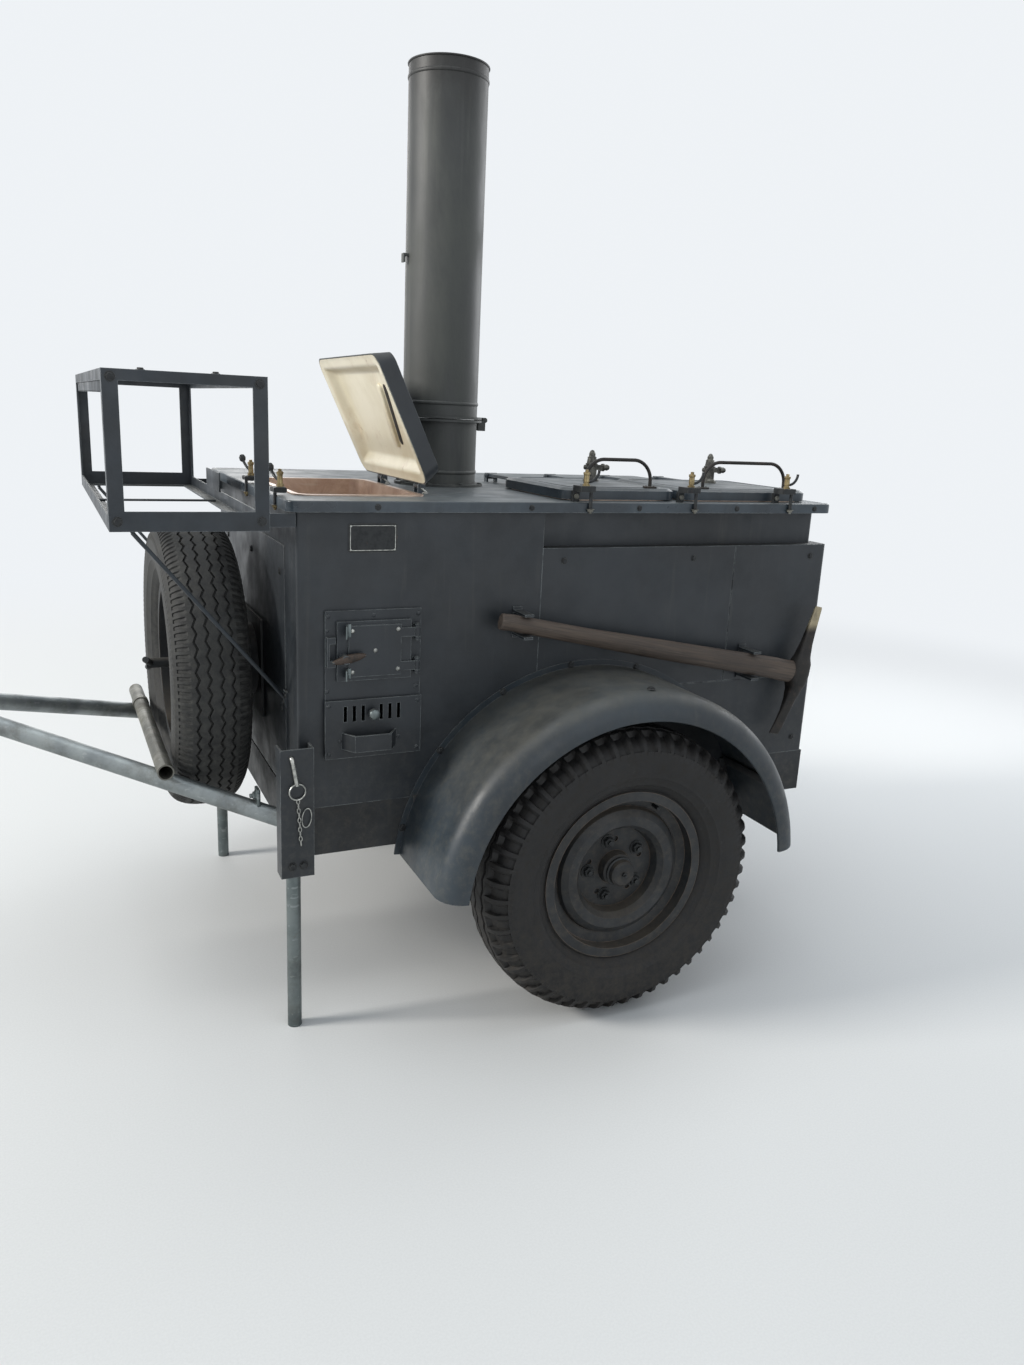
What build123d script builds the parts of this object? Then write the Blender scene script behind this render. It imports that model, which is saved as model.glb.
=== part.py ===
from build123d import *

import os
from math import cos, radians, sin, sqrt

os.makedirs("parts", exist_ok=True)

# Driving dimensions in millimetres: X forward, Y to the left, Z up from the ground

# Running gear
tyre_diameter = 760
tyre_width = 185
tyre_wall = 12
shoulder_width = 152
rim_seat_radius = 203
rim_flange_radius = 222
rim_width = 130
rim_wall = 5
wheel_offset = 687  # wheel centre plane from the middle of the trailer
axle_x = -666
axle_z = tyre_diameter / 2
axle_beam_size = 50
spindle_radius = 19
running_clearance = 0.08
seat_gap = 0.2

# Chassis frame and body, x given from the axle
body_half = 500
front_wall_x = axle_x + 760
rear_wall_x = axle_x - 744
split_x = axle_x + 150
rail_height = 121
rail_flange = 50
rail_wall = 5
body_bottom = 555
rail_bottom = body_bottom - rail_height
sheet = 4

# Top plate, a folded sheet
top_z = 1280
top_sheet = 5
top_skirt = 25
top_front_x = front_wall_x + 23
top_rear_x = rear_wall_x + 18
top_half = 527
top_corner = 28

# Kettle casing and its jacket of insulated panels
jacket_thickness = 38
jacket_rear_thickness = 28
jacket_top = 1166
jacket_line_z = 790
jacket_seam_x = axle_x - 430
jacket_skin = 3
groove = 3
groove_depth = 1.5

# Roasting pan, its lid and the hinge behind it
pan_rear_x = axle_x + 432
pan_length = 296
pan_right_y = -100
pan_width = 500
pan_depth = 170
pan_flange = 12
pan_wall = 3
pan_corner = 42
lid_angle = 65  # how far the pan lid stands open
lid_depth = 44
lid_gap = 4
lid_overlap = 14
lid_corner = 36
pan_hinge_back = 16
pan_hinge_height = 18

# Kettles and their lids, hinged on the right by long arms: middle along X and length of each kettle
kettle_places = {"front": (axle_x - 76, 281), "rear": (axle_x - 470, 358)}
kettle_width = 330
kettle_depth = 330
kettle_wall = 3
kettle_corner = 60
kettle_centre_y = 290
kettle_flange = 18
kettle_lid_over = 25
kettle_lid_corner = 34
kettle_lid_thickness = 28
kettle_lid_edge = 6
kettle_hinge_y = -125
kettle_hinge_height = 17

# Clamps of the kettle lids, in a row along the left edge of the top plate
clamp_count = 3
clamp_pitch = 307
clamp_rear_x = axle_x - 558

# Chimney
chimney_x = axle_x + 240
chimney_radius = 102.5
chimney_wall = 2.5
chimney_joint_z = 1460
chimney_top_z = 2330
chimney_collar_radius = 116
chimney_collar = 6
chimney_hook_z = 1874
chimney_hook = (14, 18, 22)  # reach, width and height

# Doors on the left of the fire section
door_frame_thickness = 6
frame_rear_x = axle_x + 466
frame_front_x = axle_x + 697
frame_low_z = 682
frame_high_z = 1031
fire_opening_x = (axle_x + 500, axle_x + 663)
fire_opening_z = (874, 999)
ash_opening_x = (axle_x + 484, axle_x + 679)
ash_opening_z = (690, 808)
door_lap = 8
drawer_lap = (20, 12)  # along X and Z
door_gap = 2
door_plate = 6
door_inner_plate = 5
drawer_length = 300
drawer_wall = 2
drawer_clearance = 5

# Fire doors on the rear wall
rear_frame_half = 168
rear_door_centre_y = 200
rear_fire_z = (776, 908)
rear_ash_z = (642, 736)
rear_opening_half = 135

# Fenders
fender_radius = 510
fender_outer_y = 800
fender_shoulder = 55
fender_sheet = 3
fender_skirt = 8
fender_flange = 18
fender_cut = 6  # degrees that each end stops above the arch's centre
fender_drop = 28  # the arch's centre lies this far below the axle

# Stands at the front corners
stand_x = front_wall_x + 12
stand_width = 78
stand_depth = 45
stand_wall = 4
stand_low_z = 405
stand_high_z = 722
leg_radius = 17
leg_wall = 3
leg_top_z = 660

# Drawbar
drawbar_radius = 22
drawbar_wall = 3.5
drawbar_foot = (front_wall_x, body_half - 48, 505)
drawbar_apex = (axle_x + 1545, 22, 750)
pole_radius = 35
pole_wall = 5
pole_rear_x = axle_x + 1440
pole_front_x = axle_x + 1995
eye_x = axle_x + 2066
eye_bore_radius = 20
eye_outer_radius = 46
eye_bush = 5
eye_height = 32
cross_tube_x = front_wall_x + 280
cross_tube_radius = 19
cross_tube_wall = 3
cross_tube_half = 373
cross_tube_collar = (-240, 28)  # start along Y and length

# Spare wheel in front of the body
spare_x = front_wall_x + 160
spare_z = 808
carrier_plate_half = 130

# Rack of angle iron above the spare wheel
rack_rear_x = front_wall_x + 70
rack_front_x = front_wall_x + 385
rack_half = 570
rack_low_z = 1220
rack_high_z = 1531
rack_angle = 30
rack_wall = 4
rack_bottom_rail = 40
rack_top_rail = 22

# Pickaxe on the left side
pick_y = body_half + 50
pick_handle_front = (axle_x + 280, 999)
pick_handle_rear = (axle_x - 675, 806)

# Leaf springs, outside the rails
spring_y = body_half + 34
leaf_width = 44
leaf_thickness = 7
leaf_count = 6
leaf_reach = 380
leaf_step = 58
leaf_rise = 45
spring_seat = 6
drum_radius = 140


def keep(piece, name):
    # Labels a finished piece and writes it to its own file
    piece.part.label = name
    export_step(piece.part, f"parts/{name}.step")


def block(low, high, mode=Mode.ADD):
    # A plain bar or lug between two corners
    size = [b - a for a, b in zip(low, high)]
    centre = tuple((a + b) / 2 for a, b in zip(low, high))
    with Locations(centre):
        Box(*size, mode=mode)


def rod(start, end, radius, bore=0):
    # A round bar or tube between two points
    start, end = Vector(*start), Vector(*end)
    plane = Plane(origin=start, z_dir=end - start)
    with BuildSketch(plane) as section:
        Circle(radius)
        if bore:
            Circle(bore, mode=Mode.SUBTRACT)
    extrude(section.sketch, amount=(end - start).length)


def mirrored(piece):
    # The same piece for the right side
    with BuildPart() as other:
        mirror(piece.part, about=Plane.XZ)
    return other


def both_sides(piece):
    # The left piece and its mirror image, as two solids of one node
    with BuildPart() as pair:
        add(piece.part)
        mirror(piece.part, about=Plane.XZ)
    return pair


# Chassis frame: two channels with their webs outside, and four cross members between them
rail_mid_z = (rail_bottom + body_bottom) / 2
frame_length = front_wall_x - rear_wall_x
cross_members = (rear_wall_x, axle_x - 300, axle_x + 300, front_wall_x - rail_flange)
with BuildPart() as chassis_frame:
    for side in (-1, 1):
        with BuildSketch(Plane.YZ.offset(rear_wall_x)):
            with Locations((side * (body_half - rail_flange / 2), rail_mid_z)):
                Rectangle(rail_flange, rail_height)
            with Locations((side * (body_half - rail_wall - rail_flange / 2), rail_mid_z)):
                Rectangle(rail_flange, rail_height - 2 * rail_wall, mode=Mode.SUBTRACT)
        extrude(amount=frame_length)
    for member_x in cross_members:
        opens_forward = member_x < axle_x
        shift = rail_wall if opens_forward else -rail_wall
        with BuildSketch(Plane.XZ):
            with Locations((member_x + rail_flange / 2, rail_mid_z)):
                Rectangle(rail_flange, rail_height - 2 * rail_wall)
            with Locations((member_x + rail_flange / 2 + shift, rail_mid_z)):
                Rectangle(rail_flange, rail_height - 4 * rail_wall, mode=Mode.SUBTRACT)
        extrude(amount=body_half - rail_wall, both=True)
keep(chassis_frame, "chassis_frame")

# Axle: a square beam with round spindles and the fixed back plates of the brakes
back_plate_y = 570
back_plate = 5
drum_inner_y = back_plate_y + back_plate + 5
spindle_end_y = wheel_offset + 25
with BuildPart() as axle_beam:
    with BuildSketch(Plane.XZ):
        with Locations((axle_x, axle_z)):
            Rectangle(axle_beam_size, axle_beam_size)
    extrude(amount=back_plate_y, both=True)
    for side in (-1, 1):
        plate_start = (axle_x, side * back_plate_y, axle_z)
        rod(plate_start, (axle_x, side * (back_plate_y + back_plate), axle_z), drum_radius + 8)
        rod(plate_start, (axle_x, side * spindle_end_y, axle_z), spindle_radius)
keep(axle_beam, "axle_beam")

# Leaf springs: curved leaves, longest on top, with eyes, a front hanger, a rear shackle and U-bolts
pack_low_z = axle_z + axle_beam_size / 2 + spring_seat
leaf_top_z = pack_low_z + leaf_count * leaf_thickness
leaf_radius = (leaf_reach**2 + leaf_rise**2) / (2 * leaf_rise)
leaf_centre_z = leaf_top_z + leaf_radius
eye_z = leaf_top_z + leaf_rise
spring_eye_radius = 15
spring_pin_radius = 8
shackle_pin = (axle_x - leaf_reach - 14, eye_z + 34)
bolt_radius = 5
spring_inner_y = spring_y - leaf_width / 2
spring_outer_y = spring_y + leaf_width / 2


def leaf_point(radius, along_x):
    # A point of a leaf's surface, at a distance along X from the axle
    return (axle_x + along_x, leaf_centre_z - sqrt(radius**2 - along_x**2))


with BuildPart() as leaf_spring_left:
    with BuildSketch(Plane.XZ.offset(-spring_inner_y)):
        with BuildLine():
            ThreePointArc(*[leaf_point(leaf_radius, x) for x in (-leaf_reach, 0, leaf_reach)])
            for index in range(leaf_count):
                reach = leaf_reach - index * leaf_step
                upper = leaf_radius + index * leaf_thickness
                lower = upper + leaf_thickness
                following = reach - leaf_step
                for end in (-1, 1):
                    Line(leaf_point(upper, end * reach), leaf_point(lower, end * reach))
                    if index < leaf_count - 1:
                        middle = end * (reach + following) / 2
                        ThreePointArc(
                            leaf_point(lower, end * reach),
                            leaf_point(lower, middle),
                            leaf_point(lower, end * following),
                        )
            ThreePointArc(*[leaf_point(lower, x) for x in (-reach, 0, reach)])
        make_face()
    extrude(amount=-leaf_width)
    block(
        (axle_x - 45, spring_inner_y, axle_z + axle_beam_size / 2),
        (axle_x + 45, spring_outer_y, pack_low_z + 1),
    )
    for end in (-1, 1):
        eye_at = axle_x + end * leaf_reach
        rod((eye_at, spring_inner_y, eye_z), (eye_at, spring_outer_y, eye_z), spring_eye_radius)
        rod((eye_at, body_half, eye_z), (eye_at, spring_outer_y + 8, eye_z), spring_pin_radius)
    front_eye = axle_x + leaf_reach
    block(
        (front_eye - 35, body_half, eye_z - 35),
        (front_eye + 35, body_half + 5, body_bottom - 6),
    )
    shackle_x, shackle_z = shackle_pin
    rod(
        (shackle_x, body_half, shackle_z),
        (shackle_x, spring_outer_y + 8, shackle_z),
        spring_pin_radius,
    )
    for plate_y in (spring_inner_y - 6, spring_outer_y + 1):
        with BuildSketch(Plane.XZ.offset(-plate_y)):
            with Locations(((shackle_x + axle_x - leaf_reach) / 2, (shackle_z + eye_z) / 2)):
                SlotCenterToCenter(37, 28, rotation=-68)
        extrude(amount=-5)
    for bolt_x in (axle_x - 34, axle_x + 34):
        for bolt_y in (spring_inner_y - bolt_radius + 1, spring_outer_y + bolt_radius - 1):
            rod(
                (bolt_x, bolt_y, axle_z - axle_beam_size / 2 - 22),
                (bolt_x, bolt_y, leaf_top_z + 10),
                bolt_radius,
            )
        rod(
            (bolt_x, spring_inner_y - bolt_radius + 1, leaf_top_z + 7),
            (bolt_x, spring_outer_y + bolt_radius - 1, leaf_top_z + 7),
            bolt_radius - 0.5,
        )
    block(
        (axle_x - 46, spring_inner_y - 9.5, axle_z - axle_beam_size / 2 - 10),
        (axle_x + 46, spring_outer_y + 9.5, axle_z - axle_beam_size / 2),
    )
    block(
        (axle_x - 39, spring_inner_y, leaf_top_z),
        (axle_x + 39, spring_outer_y, leaf_top_z + 6),
    )
keep(both_sides(leaf_spring_left), "leaf_springs")


def tyre(origin, along):
    # A tyre whose axle runs along the given direction: two beads, round sidewalls and a crowned tread
    outside, half = tyre_diameter / 2, tyre_width / 2
    bead = rim_width / 2 - rim_wall - seat_gap
    seat = rim_seat_radius + seat_gap
    shoulder, shoulder_r = shoulder_width / 2, outside - 14
    mid_r = (rim_flange_radius + shoulder_r) / 2
    side_r, inner, crown_half = rim_flange_radius + 1, bead - tyre_wall, shoulder - tyre_wall
    wheel_plane = Plane(origin=origin, x_dir=along, z_dir=Vector(*along).cross(Vector(0, 0, 1)))
    with BuildPart() as piece:
        with BuildSketch(wheel_plane):
            with BuildLine():
                Line((-inner, seat), (-bead, seat))
                Line((-bead, seat), (-bead, side_r))
                ThreePointArc((-bead, side_r), (-half, mid_r), (-shoulder, shoulder_r))
                ThreePointArc((-shoulder, shoulder_r), (0, outside), (shoulder, shoulder_r))
                ThreePointArc((shoulder, shoulder_r), (half, mid_r), (bead, side_r))
                Line((bead, side_r), (bead, seat))
                Polyline((bead, seat), (inner, seat), (inner, side_r + 4))
                ThreePointArc(
                    (inner, side_r + 4),
                    (half - tyre_wall, mid_r),
                    (crown_half, shoulder_r - tyre_wall),
                )
                ThreePointArc(
                    (crown_half, shoulder_r - tyre_wall),
                    (0, outside - tyre_wall - 4),
                    (-crown_half, shoulder_r - tyre_wall),
                )
                ThreePointArc(
                    (-crown_half, shoulder_r - tyre_wall),
                    (tyre_wall - half, mid_r),
                    (-inner, side_r + 4),
                )
                Line((-inner, side_r + 4), (-inner, seat))
            make_face()
        revolve(axis=Axis(origin, along))
    return piece


def rim(origin, along, disc_points):
    # A pressed disc wheel: rim with two flanges, seats and a well, and a dished disc (offset, radius)
    wheel_plane = Plane(origin=origin, x_dir=along, z_dir=Vector(*along).cross(Vector(0, 0, 1)))
    edge = rim_width / 2
    well, well_radius = 26, rim_seat_radius - 26
    outline = [
        (-edge, rim_flange_radius),
        (-edge + rim_wall, rim_flange_radius),
        (-edge + rim_wall, rim_seat_radius),
        (-well - 8, rim_seat_radius),
        (-well, well_radius),
        (well, well_radius),
        (well + 8, rim_seat_radius),
        (edge - rim_wall, rim_seat_radius),
        (edge - rim_wall, rim_flange_radius),
        (edge, rim_flange_radius),
        (edge, rim_seat_radius - rim_wall),
        (well + 8, rim_seat_radius - rim_wall),
        (well, well_radius - rim_wall),
        (-well, well_radius - rim_wall),
        (-well - 8, rim_seat_radius - rim_wall),
        (-edge, rim_seat_radius - rim_wall),
    ]
    with BuildPart() as piece:
        with BuildSketch(wheel_plane):
            with BuildLine():
                Polyline(*outline, close=True)
            make_face()
        revolve(axis=Axis(origin, along))
        with BuildSketch(wheel_plane):
            with BuildLine():
                back = [(offset - 6, radius) for offset, radius in reversed(disc_points)]
                Polyline(*disc_points, *back, close=True)
            make_face()
        revolve(axis=Axis(origin, along))
        with BuildSketch(Plane(origin=origin, z_dir=along)):
            with PolarLocations((disc_points[0][1] + disc_points[1][1]) / 2, 5):
                Circle(7)
        extrude(amount=tyre_width, both=True, mode=Mode.SUBTRACT)
    return piece


# Wheels: the disc's points run from the hub hole outwards, as offset from the middle plane and radius
hub_hole = 45
disc_shape = (
    (8, hub_hole),
    (8, 108),
    (32, 114),
    (46, 126),
    (48, 150),
    (38, 166),
    (22, rim_seat_radius - 30),
)
hub_flange_radius = 100
disc_back_y = wheel_offset + disc_shape[0][0] - 6
wheel_centre = (axle_x, wheel_offset, axle_z)
tyre_left = tyre(wheel_centre, (0, 1, 0))
rim_left = rim(wheel_centre, (0, 1, 0), disc_shape)
for piece, name in ((tyre_left, "tyre"), (rim_left, "rim")):
    keep(piece, f"{name}_left")
    keep(mirrored(piece), f"{name}_right")

# Hub with the brake drum behind it and the grease cap in front, running on the spindle
hub_bore = spindle_radius + running_clearance
hub_outline = [
    (drum_inner_y, drum_radius),
    (drum_inner_y + 56, drum_radius),
    (drum_inner_y + 62, drum_radius - 8),
    (drum_inner_y + 62, 62),
    (disc_back_y - 10, 62),
    (disc_back_y - 10, hub_flange_radius),
    (disc_back_y, hub_flange_radius),
    (disc_back_y, hub_hole - 1),
    (wheel_offset + 30, hub_hole - 3),
    (wheel_offset + 34, 36),
    (wheel_offset + 56, 33),
    (wheel_offset + 60, 28),
    (wheel_offset + 60, 0),
    (spindle_end_y + 4, 0),
    (spindle_end_y + 4, hub_bore),
    (drum_inner_y + 56, hub_bore),
    (drum_inner_y + 56, drum_radius - 9),
    (drum_inner_y, drum_radius - 9),
]
with BuildPart() as hub_left:
    with BuildSketch(Plane.YZ.offset(axle_x)):
        with BuildLine():
            Polyline(*[(y, axle_z + r) for y, r in hub_outline], close=True)
        make_face()
    revolve(axis=Axis((axle_x, 0, axle_z), (0, 1, 0)))
keep(hub_left, "hub_left")
keep(mirrored(hub_left), "hub_right")

# Fenders: a rounded sheet arch with a flange on the body side and a rolled lip
start = radians(fender_cut)
radial = Vector(cos(start), 0, sin(start))
arch_centre = (axle_x, 0, axle_z - fender_drop)
fender_plane = Plane(origin=arch_centre, x_dir=(0, 1, 0), z_dir=Vector(0, 1, 0).cross(radial))
shoulder_y = fender_outer_y - fender_shoulder
lip_r = fender_radius - fender_shoulder - fender_skirt
with BuildPart() as fender_left:
    with BuildSketch(fender_plane):
        flange_middle = fender_radius - fender_sheet + fender_flange / 2
        with Locations((body_half + fender_sheet / 2, flange_middle)):
            Rectangle(fender_sheet, fender_flange)
        with Locations(((body_half + shoulder_y) / 2, fender_radius - fender_sheet / 2)):
            Rectangle(shoulder_y - body_half, fender_sheet)
        with BuildLine():
            CenterArc((shoulder_y, fender_radius - fender_shoulder), fender_shoulder, 0, 90)
            CenterArc(
                (shoulder_y, fender_radius - fender_shoulder), fender_shoulder - fender_sheet, 0, 90
            )
            Line(
                (shoulder_y, fender_radius),
                (shoulder_y, fender_radius - fender_sheet),
            )
            Line(
                (fender_outer_y, fender_radius - fender_shoulder),
                (fender_outer_y - fender_sheet, fender_radius - fender_shoulder),
            )
        make_face()
        with Locations(
            (fender_outer_y - fender_sheet / 2, fender_radius - fender_shoulder - fender_skirt / 2)
        ):
            Rectangle(fender_sheet, fender_skirt)
        with Locations((fender_outer_y - 5, lip_r)):
            Circle(5)
    revolve(axis=Axis(arch_centre, (0, -1, 0)), revolution_arc=180 - 2 * fender_cut)
keep(fender_left, "fender_left")
keep(mirrored(fender_left), "fender_right")

# Fire section: a sheet casing open at the top, with openings for the fire door and the ash drawer
case_top = top_z - top_sheet
door_openings = ((fire_opening_x, fire_opening_z), (ash_opening_x, ash_opening_z))
with BuildPart() as fire_section:
    block((split_x, -body_half, body_bottom), (front_wall_x, body_half, case_top))
    fillet(fire_section.edges().filter_by(Axis.Z).group_by(Axis.X)[-1], 8)
    block(
        (split_x + sheet, -body_half + sheet, body_bottom + sheet),
        (front_wall_x - sheet, body_half - sheet, case_top),
        mode=Mode.SUBTRACT,
    )
    for (low_x, high_x), (low_z, high_z) in door_openings:
        block(
            (low_x, body_half - 2 * sheet, low_z),
            (high_x, body_half + sheet, high_z),
            mode=Mode.SUBTRACT,
        )
keep(fire_section, "fire_section")

# Firebox lining behind the two openings: fire chamber above a grate, ash chamber below
lining = 16
firebox_x = (ash_opening_x[0] - 24, ash_opening_x[1] + 24)
firebox_z = (ash_opening_z[0] - 22, top_z - pan_depth - 40)
firebox_depth = 380
grate_z = (ash_opening_z[1] + fire_opening_z[0]) / 2
grate_bars = 7
firebox_out = body_half - sheet
with BuildPart() as front_firebox:
    block(
        (firebox_x[0], firebox_out - firebox_depth, firebox_z[0]),
        (firebox_x[1], firebox_out, firebox_z[1]),
    )
    block(
        (firebox_x[0] + lining, firebox_out - firebox_depth + lining, firebox_z[0] + lining),
        (firebox_x[1] - lining, firebox_out - lining, firebox_z[1]),
        mode=Mode.SUBTRACT,
    )
    for (low_x, high_x), (low_z, high_z) in door_openings:
        block(
            (low_x, firebox_out - 2 * lining, low_z),
            (high_x, firebox_out, high_z),
            mode=Mode.SUBTRACT,
        )
    bar_pitch = (firebox_x[1] - firebox_x[0] - 2 * lining) / (grate_bars + 1)
    for index in range(grate_bars):
        bar_x = firebox_x[0] + lining + (index + 1) * bar_pitch
        block(
            (bar_x - 6, firebox_out - firebox_depth + lining, grate_z - 7),
            (bar_x + 6, firebox_out - lining, grate_z + 7),
        )
keep(front_firebox, "front_firebox")

# Kettle casing: the inner sheet box behind the fire section, its upper part showing as a neck
neck_rear_x = rear_wall_x + jacket_rear_thickness
neck_half = body_half - jacket_thickness
rear_openings = (rear_fire_z, rear_ash_z)
with BuildPart() as kettle_casing:
    block((neck_rear_x, -neck_half, body_bottom), (split_x, neck_half, case_top))
    fillet(kettle_casing.edges().filter_by(Axis.Z).group_by(Axis.X)[0], 12)
    block(
        (neck_rear_x + sheet, -neck_half + sheet, body_bottom + sheet),
        (split_x - sheet, neck_half - sheet, case_top),
        mode=Mode.SUBTRACT,
    )
    for low_z, high_z in rear_openings:
        block(
            (neck_rear_x - sheet, rear_door_centre_y - rear_opening_half, low_z),
            (neck_rear_x + 2 * sheet, rear_door_centre_y + rear_opening_half, high_z),
            mode=Mode.SUBTRACT,
        )
keep(kettle_casing, "kettle_casing")

# Kettle jacket: sheet panels round three sides and a ledge at the neck, their joints as shallow grooves
with BuildPart() as kettle_jacket:
    block((rear_wall_x, -body_half, body_bottom), (split_x, body_half, jacket_top))
    fillet(kettle_jacket.edges().filter_by(Axis.Z).group_by(Axis.X)[0], 14)
    block(
        (rear_wall_x + jacket_skin, jacket_skin - body_half, body_bottom),
        (split_x, body_half - jacket_skin, jacket_top - jacket_skin),
        mode=Mode.SUBTRACT,
    )
    for low_z, high_z in rear_openings:
        block(
            (
                rear_wall_x + 1,
                rear_door_centre_y - rear_opening_half - jacket_skin,
                low_z - jacket_skin,
            ),
            (
                neck_rear_x,
                rear_door_centre_y + rear_opening_half + jacket_skin,
                high_z + jacket_skin,
            ),
        )
    block(
        (neck_rear_x, -neck_half, body_bottom),
        (split_x, neck_half, jacket_top),
        mode=Mode.SUBTRACT,
    )
    for side in (-1, 1):
        low, high = sorted((side * (body_half - groove_depth), side * (body_half + 1)))
        block(
            (jacket_seam_x - groove / 2, low, jacket_line_z),
            (jacket_seam_x + groove / 2, high, jacket_top),
            mode=Mode.SUBTRACT,
        )
        block(
            (rear_wall_x, low, jacket_line_z - groove / 2),
            (split_x, high, jacket_line_z + groove / 2),
            mode=Mode.SUBTRACT,
        )
    for low_z, high_z in rear_openings:
        block(
            (rear_wall_x - 1, rear_door_centre_y - rear_opening_half, low_z),
            (neck_rear_x + 1, rear_door_centre_y + rear_opening_half, high_z),
            mode=Mode.SUBTRACT,
        )
keep(kettle_jacket, "kettle_jacket")

# Firebox of the kettles behind the rear doors
rear_box_depth = 300
rear_box_half = rear_opening_half + 26
rear_box_x = neck_rear_x + sheet
rear_box_z = (rear_ash_z[0] - 22, top_z - kettle_depth - 12)
with BuildPart() as rear_firebox:
    block(
        (rear_box_x, rear_door_centre_y - rear_box_half, rear_box_z[0]),
        (rear_box_x + rear_box_depth, rear_door_centre_y + rear_box_half, rear_box_z[1]),
    )
    block(
        (rear_box_x + lining, rear_door_centre_y - rear_box_half + lining, rear_box_z[0] + lining),
        (
            rear_box_x + rear_box_depth - lining,
            rear_door_centre_y + rear_box_half - lining,
            rear_box_z[1] + 1,
        ),
        mode=Mode.SUBTRACT,
    )
    for low_z, high_z in rear_openings:
        block(
            (rear_box_x - 1, rear_door_centre_y - rear_opening_half, low_z),
            (rear_box_x + 2 * lining, rear_door_centre_y + rear_opening_half, high_z),
            mode=Mode.SUBTRACT,
        )
keep(rear_firebox, "rear_firebox")


def tub(low, high, wall, corner, rim_lap, rim_thickness):
    # A pressed pan between two corners, open at the top, with a flat rim round its mouth
    centre_x, centre_y = (low[0] + high[0]) / 2, (low[1] + high[1]) / 2
    length, width = high[0] - low[0], high[1] - low[1]
    with BuildPart() as hollow:
        with BuildSketch(Plane.XY.offset(low[2] + wall)):
            with Locations((centre_x, centre_y)):
                RectangleRounded(length - 2 * wall, width - 2 * wall, corner - wall)
        extrude(amount=high[2] + rim_thickness - low[2])
        fillet(hollow.faces().sort_by(Axis.Z)[0].edges(), corner / 2 - wall)
    with BuildPart() as piece:
        with BuildSketch(Plane.XY.offset(low[2])):
            with Locations((centre_x, centre_y)):
                RectangleRounded(length, width, corner)
        extrude(amount=high[2] - low[2])
        fillet(piece.faces().sort_by(Axis.Z)[0].edges(), corner / 2)
        with BuildSketch(Plane.XY.offset(high[2])):
            with Locations((centre_x, centre_y)):
                RectangleRounded(length + 2 * rim_lap, width + 2 * rim_lap, corner)
        extrude(amount=rim_thickness)
        add(hollow.part, mode=Mode.SUBTRACT)
    return piece


# Roasting pan, hung in the front opening of the top plate
pan_low = (pan_rear_x, pan_right_y, top_z - pan_depth)
pan_high = (pan_rear_x + pan_length, pan_right_y + pan_width, top_z)
roasting_pan = tub(pan_low, pan_high, pan_wall, pan_corner, pan_flange, pan_wall)
keep(roasting_pan, "roasting_pan")

# Kettles, hung in the two rear openings
kettle_boxes = {}
for place, (centre_x, length) in kettle_places.items():
    low = (centre_x - length / 2, kettle_centre_y - kettle_width / 2, top_z - kettle_depth)
    high = (centre_x + length / 2, kettle_centre_y + kettle_width / 2, top_z)
    kettle_boxes[place] = (low, high)
    keep(tub(low, high, kettle_wall, kettle_corner, kettle_flange, kettle_wall), f"kettle_{place}")

# Hinge lines of the lids: fixed lugs and pin on the top plate, knuckles on the lid
hinge_pin_radius = 5
knuckle_radius = 9
knuckle_length = 22
lug_thickness = 6
hinge_side_gap = 1
pan_hinge_x = pan_rear_x - pan_flange - pan_hinge_back
pan_hinge_z = top_z + pan_hinge_height
pan_centre_y = pan_right_y + pan_width / 2
pan_knuckles_y = (pan_centre_y - 150, pan_centre_y + 150)
kettle_hinge_z = top_z + kettle_hinge_height
knuckle_spread = 100
knuckle_bore = hinge_pin_radius + running_clearance
lug_reach = knuckle_length / 2 + hinge_side_gap + lug_thickness


def hinge_lugs(centre, along, base_z):
    # Two lugs with the pin through them, standing on a surface below
    for sign in (-1, 1):
        inner = sign * (knuckle_length / 2 + hinge_side_gap)
        outer = sign * lug_reach
        near, far = sorted((inner, outer))
        spread = Vector(*along)
        low = Vector(centre[0], centre[1], base_z) + spread * near
        high = Vector(*centre) + spread * far
        half = knuckle_radius
        cross = Vector(abs(along[1]), abs(along[0]), 0) * half
        block(tuple(low - cross), tuple(high + cross))
        rod(
            tuple(Vector(*centre) + spread * near),
            tuple(Vector(*centre) + spread * far),
            knuckle_radius,
        )
    rod(
        tuple(Vector(*centre) - Vector(*along) * (lug_reach + 3)),
        tuple(Vector(*centre) + Vector(*along) * (lug_reach + 3)),
        hinge_pin_radius,
    )


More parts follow.
